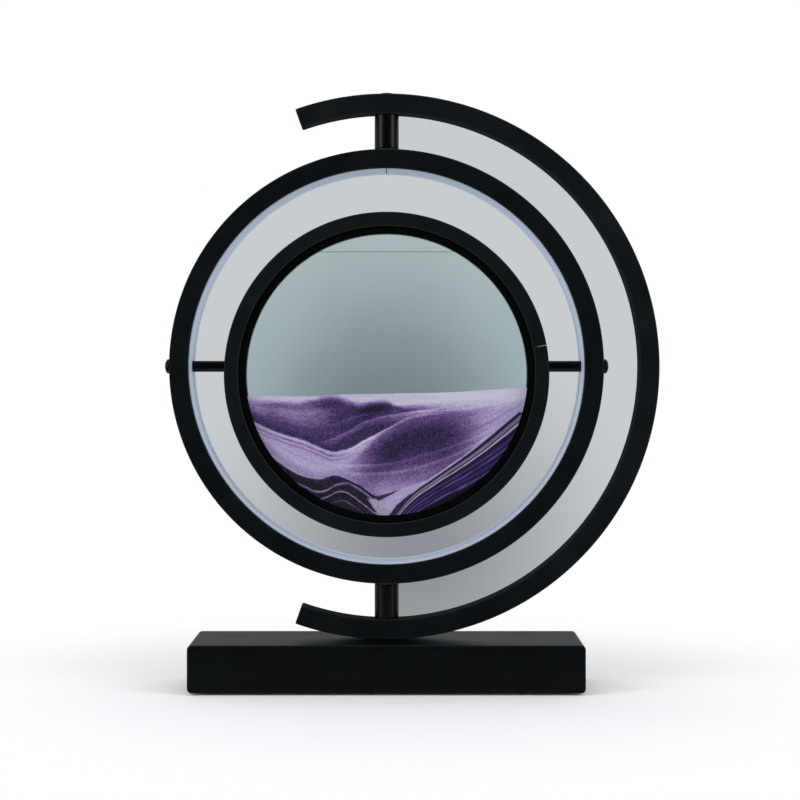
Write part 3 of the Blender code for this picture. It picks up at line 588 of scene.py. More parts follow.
@dataclass(frozen=True)
class Liquid(Finish):
    """Clear liquid, tinted darker towards the sand as painted shade, with a painted dark line where it meets
    the air.
    """

    clear: Colour
    shaded_low: Colour
    skin: Colour
    level: float
    dark_line_depth: float = 0.35
    shade_top: float = 58.0
    shade_foot: float = -12.0
    waft: float = 24.0
    clouds: float = 0.02

    def shade(self, graph: Graph) -> Value:
        """Tints the liquid by height, with painted shade low down and a painted dark line at its level.

        Args:
            graph: the tree that takes the nodes.

        Returns:
            The shader.
        """
        spot = graph.spot()
        height = graph.part(spot, "Z")
        # painted shade: the tint darkens towards the sand
        waft = (graph.noise(spot, self.clouds, 2) - 0.5) * self.waft
        cloud = graph.ease(height + waft, self.shade_top, self.shade_foot)
        tint = graph.mix(cloud, graph.clear(self.clear), graph.clear(self.shaded_low))
        # painted dark line just under the level, standing in for the surface seen from below
        share = graph.ease(height, self.level - self.dark_line_depth, self.level)
        return graph.mix(share, tint, graph.clear(self.skin))


@dataclass(frozen=True)
class PaleFloor(Finish):
    """A floor that keeps shadows and fades into the surroundings."""

    colour: Colour
    fade: Point

    def shade(self, graph: Graph) -> Value:
        """Thins the floor out with distance.

        Args:
            graph: the tree that takes the nodes.

        Returns:
            The shader.
        """
        place = graph.add("TexCoord", out="Object")
        distance = graph.add("VectorMath", {"operation": "LENGTH"}, {0: place}, "Value")
        lit = graph.add("BsdfDiffuse", None, {"Color": self.colour})
        return graph.mix(graph.ease(distance, *self.fade), lit, graph.clear(WHITE))


@dataclass(frozen=True)
class SandShape:
    """The sand's surfaces as (across, up) points in millimetres from the middle of the cell."""

    reach: float = 70.0
    top: Line = ((-67.8, -10.4), (-41.5, -10.9), (-20.1, -9.9), (4.2, -9.5), (33.2, -8.8), (68.2, -6.4))
    band: Line = (
        (-70, -13), (-60, -13.8), (-52, -13.8), (-45, -14.6), (-37, -13), (-30, -11.4), (-25, -11.4),
        (-19, -13.2), (-13, -14.6), (-6, -13.8), (-1, -13.6), (5, -15.7), (12, -16.2), (30, -16), (48, -15),
        (68, -13),
    )
    crest: Line = (
        (-68, -22), (-65, -23.6), (-53.5, -28.7), (-41, -32.4), (-33, -36), (-27, -38.2), (-21, -37.2),
        (-9, -31.5), (1.4, -26), (9.7, -21.4), (21, -19), (35, -18), (53, -15.4), (68, -11),
    )
    ledge: Line = (
        (-70, -29), (-25.5, -24), (-20, -21.7), (-12.5, -19.9), (-5, -19.2), (10, -17), (68, -13),
    )
    shelf: Line = (
        (-70, -38), (-32, -33), (-20, -28.2), (-11.6, -23.6), (-3.3, -20.8), (5, -19.4), (20, -17.4),
        (68, -13),
    )
    bowl: Line = (
        (-70, -34), (-27.4, -44.2), (-14.4, -44.6), (-1.4, -44), (11.6, -41.2), (30, -36), (48.7, -28.2),
        (68, -16),
    )
    basin: Line = (
        (-70, -38), (-20, -48.2), (-7, -48.8), (7, -47.2), (20.8, -44), (39.4, -36.5), (53.3, -27.9),
        (68, -17),
    )
    ridge: Line = (
        (-55.4, -40.1), (-44.3, -48.4), (-33.9, -51.9), (-24.2, -50.3), (-9.0, -58.1), (1.0, -68.5),
    )
    ridge_edge: Line = (
        (-70, -30), (-52, -44.8), (-47.8, -47.6), (-42.3, -50.2), (-34.8, -51.7), (-31, -51.3),
        (-25.5, -49.6), (-21.8, -49.6), (-17.2, -51.1), (-12.6, -54.1), (-7.9, -56.4), (10, -61.4),
    )
    tail: Line = (
        (-70, -50), (-14, -54.6), (-8.8, -58.6), (-4.2, -59.8), (1.4, -58.7), (7, -57), (70, -50),
    )
    wedge: Line = (
        (-70, -66), (-7.9, -63.6), (-1.4, -60.6), (6, -57.2), (13.4, -54.4), (21.8, -51), (70, -20),
    )
    toe: Line = (
        (-70, -69.9), (0.8, -69.8), (4, -66), (9, -61.4), (14, -58.2), (23, -53), (43, -39.5), (70, -18),
    )
    ridge_middle: Line = (
        (-55, -47), (-46, -52.9), (-40.2, -55.3), (-34.5, -57.7), (-30.6, -57.3), (-24.9, -54.4),
        (-20.1, -53.4), (-16.2, -54.9), (-11.4, -57.9), (-5.7, -62.5), (0, -69),
    )
    ridge_core: Line = (
        (-46, -69), (-32.6, -61.6), (-28.7, -60.1), (-23.9, -57.7), (-21, -57.7), (-17.2, -59.7),
        (-13.3, -62.5), (-9.5, -65.4), (-5.7, -68.3), (0, -69.5),
    )
    slope: Line = ((4.8, -68.2), (13.8, -58.1), (22.8, -51.7), (42.9, -37.4), (65.7, -18.5))
    foot: Line = (*ridge[:-1], (-1.0, -64.0), (4.0, -66.0), *slope[1:])
    mass_tone: Line = (
        (-70, 0.5), (-60, 0.44), (-50, 0.35), (-40, 0.3), (-30, 0.24), (-20, 0.18), (-5, 0.15), (5, 0.26),
        (15, 0.5), (27, 0.7), (40, 0.82), (55, 0.9), (70, 0.95),
    )


SAND = SandShape()


@dataclass(frozen=True)
class SandSpot:
    """A place in the sand, in millimetres from the cell's middle, and the forms that layers take there."""

    graph: Graph
    across: Value
    up: Value

    def line(self, points: Line, low: float = -SAND.reach, high: float = 0.0) -> Value:
        """Follows a smooth curve from left to right.

        Args:
            points: the curve's points.
            low: the least value that the curve can hold.
            high: the greatest value that it can hold.

        Returns:
            The curve's value here.
        """
        width = 2 * SAND.reach
        shares = [((place + SAND.reach) / width, (value - low) / (high - low)) for place, value in points]
        share = self.graph.add("FloatCurve", {"points": shares}, {"Value": self.across / width + 0.5})
        return share * (high - low) + low

    def above(self, points: Line) -> Value:
        """How far this place lies above a curve."""
        return self.up - self.line(points)

    def below(self, points: Line) -> Value:
        """How far this place lies below a curve."""
        return self.line(points) - self.up

    def rise(self, start: float, end: float) -> Value:
        """A soft step from left to right or back: 0 at the start and 1 at the end."""
        return self.graph.ease(self.across, start, end)

    def span(self, start: float, end: float, soft: float = 7.0) -> Value:
        """1 between two places from left to right, with soft ends."""
        return self.rise(start - soft, start + soft) * self.rise(end + soft, end - soft)

    def sheet(self, above: Value, depth: float, crisp: float = 0.35) -> Value:
        """A pale sheet of sand: cut off sharply above, fading out downwards over a depth."""
        return self.graph.ease(above, crisp, -crisp) * self.graph.ease(above, -depth, 0)

    def patch(self, middle: Point, reach: Point, tilt: float) -> Value:
        """A soft oval, 1 in its middle.

        Args:
            middle: the oval's middle.
            reach: how far it goes along and across its tilt.
            tilt: its angle above the level.

        Returns:
            The oval's strength here.
        """
        right, over = self.across - middle[0], self.up - middle[1]
        along = (right * math.cos(tilt) + over * math.sin(tilt)) / reach[0]
        aside = (over * math.cos(tilt) - right * math.sin(tilt)) / reach[1]
        return self.graph.ease(along * along + aside * aside, 1, 0)


@dataclass(frozen=True)
class Sand(Finish):
    """Loose coloured grains whose tone follows the layers that they slid down in.

    The numbers that lay a layer out are places and sizes in millimetres, streaks per millimetre, and shares
    of tone from 0, dark, to 1, pale.
    """

    palette: Stops
    grain: float = 0.5
    speckle: float = 0.4
    sway: float = 1.3
    fray: float = 1.5
    sway_streaks: Point = (0.06, 0.09)
    fray_streaks: Point = (0.3, 0.8)
    fine_share: float = 0.4
    even_tone: float = 1.15  # grains vary less, the paler they are
    loose_tone: float = 0.1
    least_speckle: float = 0.3
    relief: float = 0.05
    roughness: Point = (0.78, 0.14)  # of every grain, and what some have beyond that
    specular: float = 0.3

    def shade(self, graph: Graph) -> Value:
        """Gives each layer its tone, broken up grain by grain.

        Args:
            graph: the tree that takes the nodes.

        Returns:
            The shader.
        """
        place = graph.spot()
        across = graph.part(place, "X")
        up = across.sibling("Z")
        level, upright = self.sway_streaks
        sway = graph.streaks(across * level, up * upright) * self.sway
        level, upright = self.fray_streaks
        fray = graph.streaks(across * level, up * upright, 5, 0.65) * self.fray
        tone = self.tone(SandSpot(graph, across, up + sway + fray))
        coarse, fine = (graph.grain(place, self.grain * share) for share in (1, 0.5))
        loose = graph.ease(tone, self.even_tone, self.loose_tone) * self.speckle
        loose = loose + self.speckle * self.least_speckle
        tone = tone + (coarse * (1 - self.fine_share) + fine * self.fine_share - 0.5) * loose
        least, more = self.roughness
        relief = graph.bump(coarse + fine, self.relief)
        return graph.principled(graph.ramp(tone, self.palette), least + coarse * more, relief, self.specular)

    @abstractmethod
    def tone(self, spot: SandSpot) -> Value:
        """Lays the layers out.

        Args:
            spot: the place in the sand.

        Returns:
            How pale the sand is there, from 0 to 1.
        """


@dataclass(frozen=True)
class DuneSand(Sand):
    """The main bed: a pale top band, a dark streaked drift, and a pale and a dark dune below its crest."""

    def tone(self, spot: SandSpot) -> Value:
        """Blends the layers from the foot of the bed up to its top.

        Args:
            spot: the place in the sand.

        Returns:
            How pale the sand is there.
        """
        graph, across, up = spot.graph, spot.across, spot.up
        crest, band = spot.line(SAND.crest), spot.line(SAND.band)
        upper, lower = self.drift(spot, crest, band), self.dunes(spot, crest)
        tone = lower.toward(upper, graph.ease(up - crest, -0.6, 0.6))
        veil = graph.streaks(across * 0.03, up * 0.45, 3)
        pale = 0.95 + veil * 0.22 + spot.rise(-20, 40) * 0.06
        width = 2.1 + spot.rise(4, 34) * 3.6
        loose = graph.streaks(across * 0.14, up * 0.3, 4, 0.65)
        return tone.toward(pale, graph.ease((up - band + loose * 2.4) / width, -0.8, 0.8))

    @staticmethod
    def drift(spot: SandSpot, crest: Value, band: Value) -> Value:
        """Lays out the dark mass between the pale band and the crest, with sheets that slid down to the left.

        Args:
            spot: the place in the sand.
            crest: the height of the crest.
            band: the height of the pale band's foot.

        Returns:
            How pale the mass is there.
        """
        graph, across, up = spot.graph, spot.across, spot.up
        share = (up - crest) / (band - crest)
        broad = graph.streaks(across * 0.02, share * 3.5, 4, 0.55)
        thin = graph.streaks(across * 0.05 + 7.0, share * 14.0, 5, 0.65)
        mottle = graph.streaks(across * 0.16, up * 0.34, 3, 0.6)
        tone = spot.line(SAND.mass_tone, 0, 1) + broad * 0.5 + thin * 0.4 + mottle * 0.3
        tone = tone + spot.patch((-41, -20), (19, 7), -0.15) * 0.3
        tone = tone + spot.patch((-64, -17), (9, 6), -0.3) * 0.15
        hug = graph.ease(band - up, 3.5, 0.0) * spot.span(-56, 4)
        tone = tone.toward(0.5 + thin * 0.4, hug * 0.8)
        tone = tone - spot.patch((-6, -18), (11, 5), 0.2) * 0.3
        tone = tone.toward(0.1 + thin * 0.2, graph.ease(up - crest, 7.0, 0.5) * spot.rise(-12, -30) * 0.9)
        sheets = ((SAND.ledge, -24, 4, 3.0, 0.24), (SAND.shelf, -30, 22, 4.5, 0.36))
        for points, start, end, depth, gain in sheets:
            above, reach = spot.above(points), spot.span(start, end)
            hollow = graph.ease(above, 3.5, 0) * graph.ease(above, -0.3, 0.3)
            tone = tone.toward(0.14 + thin * 0.2, hollow * reach * 0.6)
            tone = tone + spot.sheet(above, depth) * reach * gain
        return tone

    @staticmethod
    def dunes(spot: SandSpot, crest: Value) -> Value:
        """Lays out the pale dune on the left and the dark one on the right, which fades into pale streaks.

        Args:
            spot: the place in the sand.
            crest: the height of the crest.

        Returns:
            How pale the dunes are there.
        """
        graph, across, up = spot.graph, spot.across, spot.up
        foot = spot.line(SAND.foot)
        share = (up - foot) / (crest - foot)
        under = crest - up
        broad = graph.streaks(across * 0.018 + 3.0, share * 5.0, 4, 0.55)
        thin = graph.streaks(across * 0.05, share * 26.0, 5, 0.65)
        tone = 0.86 + broad * 0.24 + thin * 0.26 - graph.ease(share, 0.4, 0.0) * 0.1
        right = graph.ease(across - (1 - share) * 20.0, -18, 12)
        tone = tone.toward(0.42 + broad * 0.5 + thin * 0.5 + spot.rise(26, 56) * 0.4, right * 0.9)
        start = spot.rise(0, -18) * 5.0 + 0.5
        dark = graph.ease(under - start, -0.8, 2.6) * graph.ease(under, 32, 14) * spot.span(-10, 36, 14)
        tone = tone.toward(0.04 + graph.ease(under, 9, 2) * 0.3 + broad * 0.25 + thin * 0.25, dark)
        for points, first, last, gain in ((SAND.bowl, -20, 50, 0.2), (SAND.basin, -16, 54, 0.22)):
            tone = tone + spot.sheet(spot.above(points), 2.5) * spot.span(first, last) * gain
        tone = tone + spot.sheet(0 - under, 2.0) * spot.span(-17, 28) * 0.32
        left = spot.rise(-16, -30)
        tone = tone - graph.near(under - 2.2, 0.9) * left * 0.28 - graph.near(under - 4.2, 0.8) * left * 0.18
        tone = tone - spot.patch((8, -51.5), (12, 4), 0.5) * 0.12
        wedge = graph.ease(spot.below(SAND.wedge), -0.6, 0.8) * spot.span(-9, 30, 2)
        tone = tone.toward(0.85 + thin * 0.3, wedge)
        tail = spot.below(SAND.tail)
        thin_out = spot.rise(10, -14) * 5.0 + 0.1
        spit = graph.ease(tail, -0.3, 0.5) * graph.ease(tail / thin_out, 1.0, 0.6) * spot.span(-20, 6, 2)
        tone = tone.toward(0.02, spit * 0.9)
        thick = 1.2 + spot.rise(26, 0) * 5.0
        skirt = graph.ease(spot.above(SAND.slope) / thick, 1.0, 0.55) * spot.rise(-8, 0)
        tone = tone.toward(0.84 + thin * 0.3, skirt)
        return tone.toward(0.08 + thin * 0.5, graph.ease(spot.above(SAND.toe), 0.4, -0.4))


@dataclass(frozen=True)
class RidgeSand(Sand):
    """The dark ridge, with pale sheets that follow its hump."""

    def tone(self, spot: SandSpot) -> Value:
        """Lays thin pale sheets over the dark and softens its upper edge.

        Args:
            spot: the place in the sand.

        Returns:
            How pale the sand is there.
        """
        graph, across, up = spot.graph, spot.across, spot.up
        depth, middle = spot.below(SAND.ridge_edge), spot.above(SAND.ridge_middle)
        core = spot.above(SAND.ridge_core)
        streak = graph.streaks(across * 0.05, middle * 0.7, 4)
        along = graph.noise(graph.vector(across * 0.1, up * 0.1), 1.0, 2)
        tone = 0.03 + streak * 0.2 + graph.ease(depth, 2.0, 0.0) * 0.1
        tone = tone + spot.sheet(middle, 1.8, 0.3) * (0.25 + along * 0.75)
        tone = tone + spot.sheet(core, 1.4, 0.25) * (0.3 + along * 0.75)
        tone = tone + spot.sheet(core + 4.6, 1.6, 0.3) * along * 0.5
        tone = tone.toward(0.8 + streak * 0.3, graph.ease(depth, 0.4, -0.5))
        wedge = graph.ease(across + (up + 64) * 0.7, -8.8, -7.2) * graph.ease(up, -60.5, -62.5)
        return tone.toward(0.79, wedge)


@dataclass(frozen=True)
class SlopeSand(Sand):
    """The striped slope, whose layers lie square to its fall."""

    depth: float = 16.5

    def tone(self, spot: SandSpot) -> Value:
        """Takes the share of the slope's depth, wavering a little along it.

        Args:
            spot: the place in the sand.

        Returns:
            The place on the ramp of stripes.
        """
        graph, across, up = spot.graph, spot.across, spot.up
        fall = spot.below(SAND.slope) * 0.8
        along = across * 0.8 + up * 0.6
        sway = graph.streaks(along * 0.05, fall * 0.12)
        thin = graph.streaks(along * 0.012, fall * 0.7, 3, 0.6)
        fine = graph.streaks(along * 0.03 + 5.0, fall * 2.4, 4, 0.65)
        spread = 1 + spot.rise(62, 10) * 0.7
        thin = thin * (0.8 + graph.ease(fall, 2, 8) * 2.6)
        fine = fine * (0.5 + graph.ease(fall, 1, 4) * 1.8)
        return (fall * spread + sway + thin + fine) / self.depth


class Paint(Enum):
    """The finishes of the lamp, each with the record's material slot."""

    # painted shade: the block's black is darker in colour than the arm's matt black, for its shaded front
    SHADED_BLACK_PAINT = "black_paint", Coating(
        "shaded_fine_black_powder_coat", (0.0006, 0.0016, 0.0021), 0.42, specular=0.07, rubbed_and_highlit=(0.006, 0.0074, 0.008)
    )
    MATT_BLACK = "black_paint", Coating(
        "matt_black_powder_coat", (0.0044, 0.0062, 0.007), 0.6, specular=0.008, rubbed_and_highlit=(0.014, 0.016, 0.017)
    )
    DULL_BLACK = "black_paint", Coating(
        "dull_black_powder_coat", (0.003, 0.0047, 0.0053), 0.6, specular=0.008, rubbed_and_highlit=(0.011, 0.013, 0.014)
    )
    SATIN_BLACK = "black_paint", Coating("satin_black_posts", (0.0006, 0.0008, 0.001), 0.33, specular=0.16)
    PLATED_STEEL = "plated_steel", Metal("zinc_plate", (0.55, 0.56, 0.57), 0.36)
    NICKEL = "nickel", Metal("nickel_plate", (0.7, 0.69, 0.66), 0.26)
    CIRCUIT_BOARD = "circuit_board", CircuitBoard(
        "green_circuit_board", (0.015, 0.1, 0.04), (0.05, 0.2, 0.09)
    )
    CABLE_SLEEVE = "cable_sleeve", Coating(
        "white_cable_sleeve", (0.72, 0.72, 0.7), 0.5, 0.8, 0.01, variation=0.05
    )
    FOAM = "foam", Foam("black_dimpled_foam", (0.014, 0.014, 0.015))
    NYLON = "nylon", Coating("natural_nylon", (0.6, 0.61, 0.6), 0.46, 0.5, 0.008, variation=0.06)
    GREY_NYLON = "nylon", Coating("grey_nylon", (0.05, 0.051, 0.053), 0.46, 0.5, 0.008, variation=0.1)
    LIGHT_STRIP = "light_strip", Coating(
        "white_light_strip", (0.82, 0.81, 0.76), 0.48, 1.2, 0.01, variation=0.06
    )
    # the band's front, middle and back colours hold painted shade at the front and painted light at the back
    FROSTED_BAND = "frosted_band", FrostedBand(
        "frosted_acrylic_band", screen(170, 179, 193), screen(174, 194, 225), screen(208, 219, 231), 12.2
    )
    SEAL_RUBBER = "seal_rubber", Coating(
        "gloss_black_sealant", (0.0015, 0.0015, 0.002), 0.15, 2.5, 0.012, 0.3
    )
    PLUG_RUBBER = "seal_rubber", Coating("matt_black_plug", (0.004, 0.0045, 0.005), 0.62, 0.8, 0.01, 0.1)
    CLEAR_GLASS = "clear_glass", ClearSheet(
        "pale_green_float_glass", (0.934, 0.965, 0.962), (0.924, 0.957, 0.954), 0.22
    )
    # the second and third tints are painted shade low down and a painted dark line at the level
    CLEAR_LIQUID = "clear_liquid", Liquid(
        "clear_liquid_fill", (0.985, 0.99, 0.99), (0.934, 0.95, 0.966), (0.62, 0.68, 0.68), 61.0
    )
    VIOLET_SAND = "violet_sand", DuneSand(
        "violet_and_white_sand",
        palette(
            (0.0, 24, 11, 44), (0.1, 46, 31, 72), (0.3, 68, 49, 98), (0.5, 95, 74, 125),
            (0.7, 131, 111, 159), (0.85, 158, 143, 183), (1.0, 185, 181, 200),
        ),
    )
    DARK_SAND = "dark_sand", RidgeSand(
        "black_and_white_sand",
        palette(
            (0.0, 16, 11, 22), (0.2, 44, 32, 62), (0.45, 92, 78, 114), (0.75, 144, 132, 164),
            (1.0, 184, 178, 196),
        ),
        fray=0.6,
        sway=0.7,
    )
    DEEP_SAND = "deep_sand", SlopeSand(
        "striped_deep_violet_sand",
        palette(
            (0.0, 70, 52, 98), (0.03, 22, 14, 34), (0.095, 30, 20, 48), (0.125, 132, 120, 150),
            (0.15, 54, 40, 78), (0.17, 142, 130, 160), (0.2, 66, 50, 94), (0.235, 18, 12, 28),
            (0.275, 188, 178, 204), (0.3, 34, 18, 60), (0.36, 20, 8, 42), (0.43, 38, 20, 72),
            (0.47, 72, 49, 114), (0.51, 26, 11, 56), (0.57, 17, 6, 38), (0.6, 98, 74, 144),
            (0.64, 24, 10, 52), (0.69, 20, 8, 48), (0.74, 54, 34, 92), (0.83, 25, 11, 54),
            (0.87, 17, 6, 40), (0.91, 98, 74, 142), (0.96, 26, 11, 56), (1.0, 14, 5, 32),
        ),
        speckle=0.012,
        fray=0.12,
        sway=0.0,
    )

    @property
    def slot(self) -> str:
        """The record's name for it."""
        return self.value[0]

    @classmethod
    def of_slot(cls, slot: str) -> "Paint":
        """The first finish of a slot."""
        return next(paint for paint in cls if paint.slot == slot)

    def coat(self, piece: bpy.types.Object) -> None:
        """Puts this finish alone on a piece."""
        piece.data.materials.clear()
        piece.data.materials.append(self.value[1].material())


@dataclass(frozen=True)
class Extent:
    """The box that one node of the frame fills."""

    low: Vector
    high: Vector

    @classmethod
    def of(cls, node: str) -> "Extent":
        """Reads a node's box from the frame."""
        return cls(*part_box(node))

    @property
    def middle(self) -> Vector:
        """The box's middle."""
        return (self.low + self.high) / 2

    @property
    def size(self) -> Vector:
        """The box's three sizes."""
        return self.high - self.low

    @property
    def outwards(self) -> list[float]:
        """How far to the side the box starts and ends, on whichever side it is."""
        return sorted((abs(self.low.x), abs(self.high.x)))


def rounding(edge: float) -> list[Point]:
    """A quarter round between two faces: how far each point lies from the one face and from the other."""
    angles = [QUARTER * step / EASE_STEPS for step in range(EASE_STEPS + 1)]
    return [(edge * (1 - math.sin(angle)), edge * (1 - math.cos(angle))) for angle in angles]


def eased(corners: Sequence[Corner], steps: int = EASE_STEPS) -> list[Point]:
    """Rounds the corners of a closed outline.

    Args:
        corners: (x, y, radius) of each corner, in order.
        steps: facets of each rounded corner.

    Returns:
        The outline's points, with one more beside each rounding to keep the flats flat.
    """
    outline: list[Point] = []
    ring = list(corners)
    for before, corner, after in zip(ring[-1:] + ring[:-1], ring, ring[1:] + ring[:1]):
        point, radius = Vector(corner[:2]), corner[2]
        if not radius:
            outline.append(tuple(point))
            continue
        back = (Vector(before[:2]) - point).normalized()
        on = (Vector(after[:2]) - point).normalized()
        half = back.angle(on) / 2
        reach = radius / math.tan(half)
        centre = point + (back + on).normalized() * radius / math.sin(half)
        first, last = (point + way * reach - centre for way in (back, on))
        start = math.atan2(first.y, first.x)
        turn = (math.atan2(last.y, last.x) - start + math.pi) % TAU - math.pi
        outline.append(tuple(point + back * reach * FLAT_START))
        for step in range(steps + 1):
            angle = start + turn * step / steps
            outline.append((centre.x + radius * math.cos(angle), centre.y + radius * math.sin(angle)))
        outline.append(tuple(point + on * reach * FLAT_START))
    return outline


def rectangle(low: Point, high: Point, radius: float, far_radius: float | None = None) -> list[Point]:
    """Draws a rectangle with rounded corners.

    Args:
        low: its lowest corner.
        high: its highest corner.
        radius: rounding of the corners on the low side.
        far_radius: rounding on the high side, where that differs.

    Returns:
        The outline's points.
    """
    far = radius if far_radius is None else far_radius
    near_low, far_low = (low[0], low[1], radius), (high[0], low[1], far)
    return eased([near_low, far_low, (high[0], high[1], far), (low[0], high[1], radius)])


def skin(rings: Sequence[Sequence[Vector]], closed: bool = False) -> Shape:
    """Lays faces between rings of points.

    Args:
        rings: closed loops with the same number of points, in order.
        closed: whether the last ring joins the first; if not, both ends are capped.

    Returns:
        The closed shape.
    """
    shape = bmesh.new()
    loops = [[shape.verts.new(point) for point in ring] for ring in rings]
    pairs = list(zip(loops, loops[1:])) + ([(loops[-1], loops[0])] if closed else [])
    for first, second in pairs:
        for one, two, three, four in zip(first, first[1:] + first[:1], second[1:] + second[:1], second):
            shape.faces.new((one, two, three, four))
    if not closed:
        shape.faces.new(loops[0])
        shape.faces.new(loops[-1])
    return shape


def turned(profile: Sequence[Point], axis: Axis, steps: int, hollow: bool = False) -> Shape:
    """Spins (radius, height) points about an axis.

    Args:
        profile: the outline from one end to the other, or round a closed loop.
        axis: where the heights point.
        steps: facets round the axis.
        hollow: whether the profile is a closed loop.

    Returns:
        The turned shape.
    """
    angles = [TAU * step / steps for step in range(steps)]
    around = [(math.cos(angle), math.sin(angle)) for angle in angles]
    rings = []
    for radius, height in profile:
        rings.append([axis.lay(radius * one, radius * two, height) for one, two in around])
    return skin(rings, hollow)


def hoop(
    profile: Sequence[Point], steps: int, start: float = 0.0, end: float = TAU, end_edge: float = 0.0
) -> Shape:
    """Sweeps a section of (radius, depth) points about the Y axis.

    Args:
        profile: the section's closed loop.
        steps: facets of the sweep.
        start: first angle above +X.
        end: last angle.
        end_edge: rounding of the two ends of an open sweep.

    Returns:
        The swept shape.
    """
    closed = math.isclose(end - start, TAU)
    radii, depths = zip(*profile)
    middle = Vector(((min(radii) + max(radii)) / 2, (min(depths) + max(depths)) / 2))
    half = (max(radii) - min(radii)) / 2
    stations = [(start + (end - start) * step / steps, 1.0) for step in range(steps + (not closed))]
    if end_edge:
        easing = [(reach / middle.x, 1 - inset / half) for reach, inset in rounding(end_edge)]
        stations = [(start + reach, share) for reach, share in reversed(easing)] + stations[1:-1]
        stations += [(end - reach, share) for reach, share in easing]
    rings = []
    for angle, share in stations:
        ring = []
        for point in profile:
            radius, depth = middle + (Vector(point) - middle) * share
            ring.append(Vector((radius * math.cos(angle), depth, radius * math.sin(angle))))
        rings.append(ring)
    return skin(rings, closed)


def slab(outline: Sequence[Point], near: float, far: float) -> Shape:
    """Gives a flat (across, up) outline a thickness between two depths."""
    return skin([[Vector((across, depth, up)) for across, up in outline] for depth in (near, far)])


def boxed(extent: Extent, path: Sequence[Point], radius: float, level: bool = False) -> Shape:
    """Fills a box with a chain of rounded outlines.

    Args:
        extent: the box.
        path: (inset, depth) of each outline, or (inset, height) where they lie level.
        radius: rounding of the corners of an outline with no inset.
        level: whether the outlines lie level; if not, they face the viewer.

    Returns:
        The closed shape.
    """
    low, high = (corner.xy if level else corner.xz for corner in (extent.low, extent.high))
    rings = []
    for inset, place in path:
        margin = Vector((inset, inset))
        outline = rectangle(low + margin, high - margin, radius - inset)
        rings.append([Vector((one, two, place) if level else (one, place, two)) for one, two in outline])
    return skin(rings)


def channel(outer: float, inner: float, depth: float, wall: float, edge: float) -> list[Point]:
    """Draws a U section that opens towards the centre.

    Args:
        outer: radius of its back.
        inner: radius of its two lips.
        depth: size from front to back.
        wall: thickness.
        edge: rounding of the outer corners.

    Returns:
        The section as (radius, depth) points.
    """
    half, lip = depth / 2, wall * LIP_SHARE
    side, floor = half - wall, outer - wall
    corners = [(inner, -half, lip), (outer, -half, edge), (outer, half, edge), (inner, half, lip)]
    corners += [(inner, side, lip / 2), (floor, side, 0), (floor, -side, 0), (inner, -side, lip / 2)]
    return eased(corners, 4)


def bevelled(radius: float, near: float, far: float, edge: float) -> list[Point]:
    """The profile of a solid round piece with bevelled ends."""
    return [(radius - edge, near), (radius, near + edge), (radius, far - edge), (radius - edge, far)]


def smooth_line(points: Line, steps: int = 10) -> list[Vector]:
    """Draws a smooth curve through points.

    Args:
        points: the points that it passes through.
        steps: how many stretches lie between two of them.

    Returns:
        The points along it.
    """
    places = [Vector(point) for point in points]
    chain = [2 * places[0] - places[1], *places, 2 * places[-1] - places[-2]]
    line = []
    for before, start, end, after in zip(chain, chain[1:], chain[2:], chain[3:]):
        for step in range(steps):
            share = step / steps
            bend = (2 * before - 5 * start + 4 * end - after) * share**2
            twist = (3 * start - before - 3 * end + after) * share**3
            line.append((2 * start + (end - before) * share + bend + twist) / 2)
    return line + [places[-1]]


def join(shapes: Sequence[Shape]) -> Shape:
    """Puts shapes together.

    Args:
        shapes: the shapes, which are used up.

    Returns:
        All of them as one.
    """
    whole = bmesh.new()
    for shape in shapes:
        mesh = bpy.data.meshes.new("joined")
        shape.to_mesh(mesh)
        shape.free()
        whole.from_mesh(mesh)
        bpy.data.meshes.remove(mesh)
    return whole


def smooth(mesh: bpy.types.Mesh) -> None:
    """Shades round faces smooth and keeps real corners crisp."""
    mesh.shade_smooth()
    mesh.set_sharp_from_angle(angle=SHARP_ANGLE)


def model(name: str, shape: Shape, origin: Sequence[float]) -> bpy.types.Object:
    """Turns a shape, given about its origin, into an object.

    Args:
        name: the piece's name.
        shape: its mesh, which is used up.
        origin: where it stands in the frame.

    Returns:
        The new object.
    """
    bmesh.ops.recalc_face_normals(shape, faces=shape.faces)
    mesh = bpy.data.meshes.new(name)
    shape.to_mesh(mesh)
    shape.free()
    smooth(mesh)
    piece = bpy.data.objects.new(name, mesh)
    piece.location = origin
    bpy.context.scene.collection.objects.link(piece)
    return piece


def cut(piece: bpy.types.Object, cutters: Sequence[Shape]) -> None:
    """Cuts shapes out of a piece for good.

    Args:
        piece: the piece.
        cutters: the shapes about the piece's origin, which are used up.
    """
    helpers = [model(f"cutter_{number}", shape, piece.location) for number, shape in enumerate(cutters)]
    for helper in helpers:
        modifier = piece.modifiers.new(helper.name, "BOOLEAN")
        modifier.operation = "DIFFERENCE"
        modifier.solver = "EXACT"
        modifier.object = helper
    bpy.context.view_layer.update()
    mesh = bpy.data.meshes.new_from_object(piece.evaluated_get(bpy.context.evaluated_depsgraph_get()))
    piece.modifiers.clear()
    mesh.name = piece.name
    piece.data = mesh
    smooth(mesh)
    for helper in helpers:
        bpy.data.objects.remove(helper)


def mark_edges(mesh: bpy.types.Mesh) -> None:
    """Keeps on each point how far the surface bends outwards there, from 0 to 1.

    Args:
        mesh: the mesh that gets the marks.
    """
    shape = bmesh.new()
    shape.from_mesh(mesh)
    shares = []
    for point in shape.verts:
        bend = max((edge.calc_face_angle_signed(0.0) for edge in point.link_edges), default=0.0)
        shares.append(min(max(bend / FULL_BEND, 0.0), 1.0))
    shape.free()
    mesh.attributes.new(EDGE, "FLOAT", "POINT").data.foreach_set("value", shares)


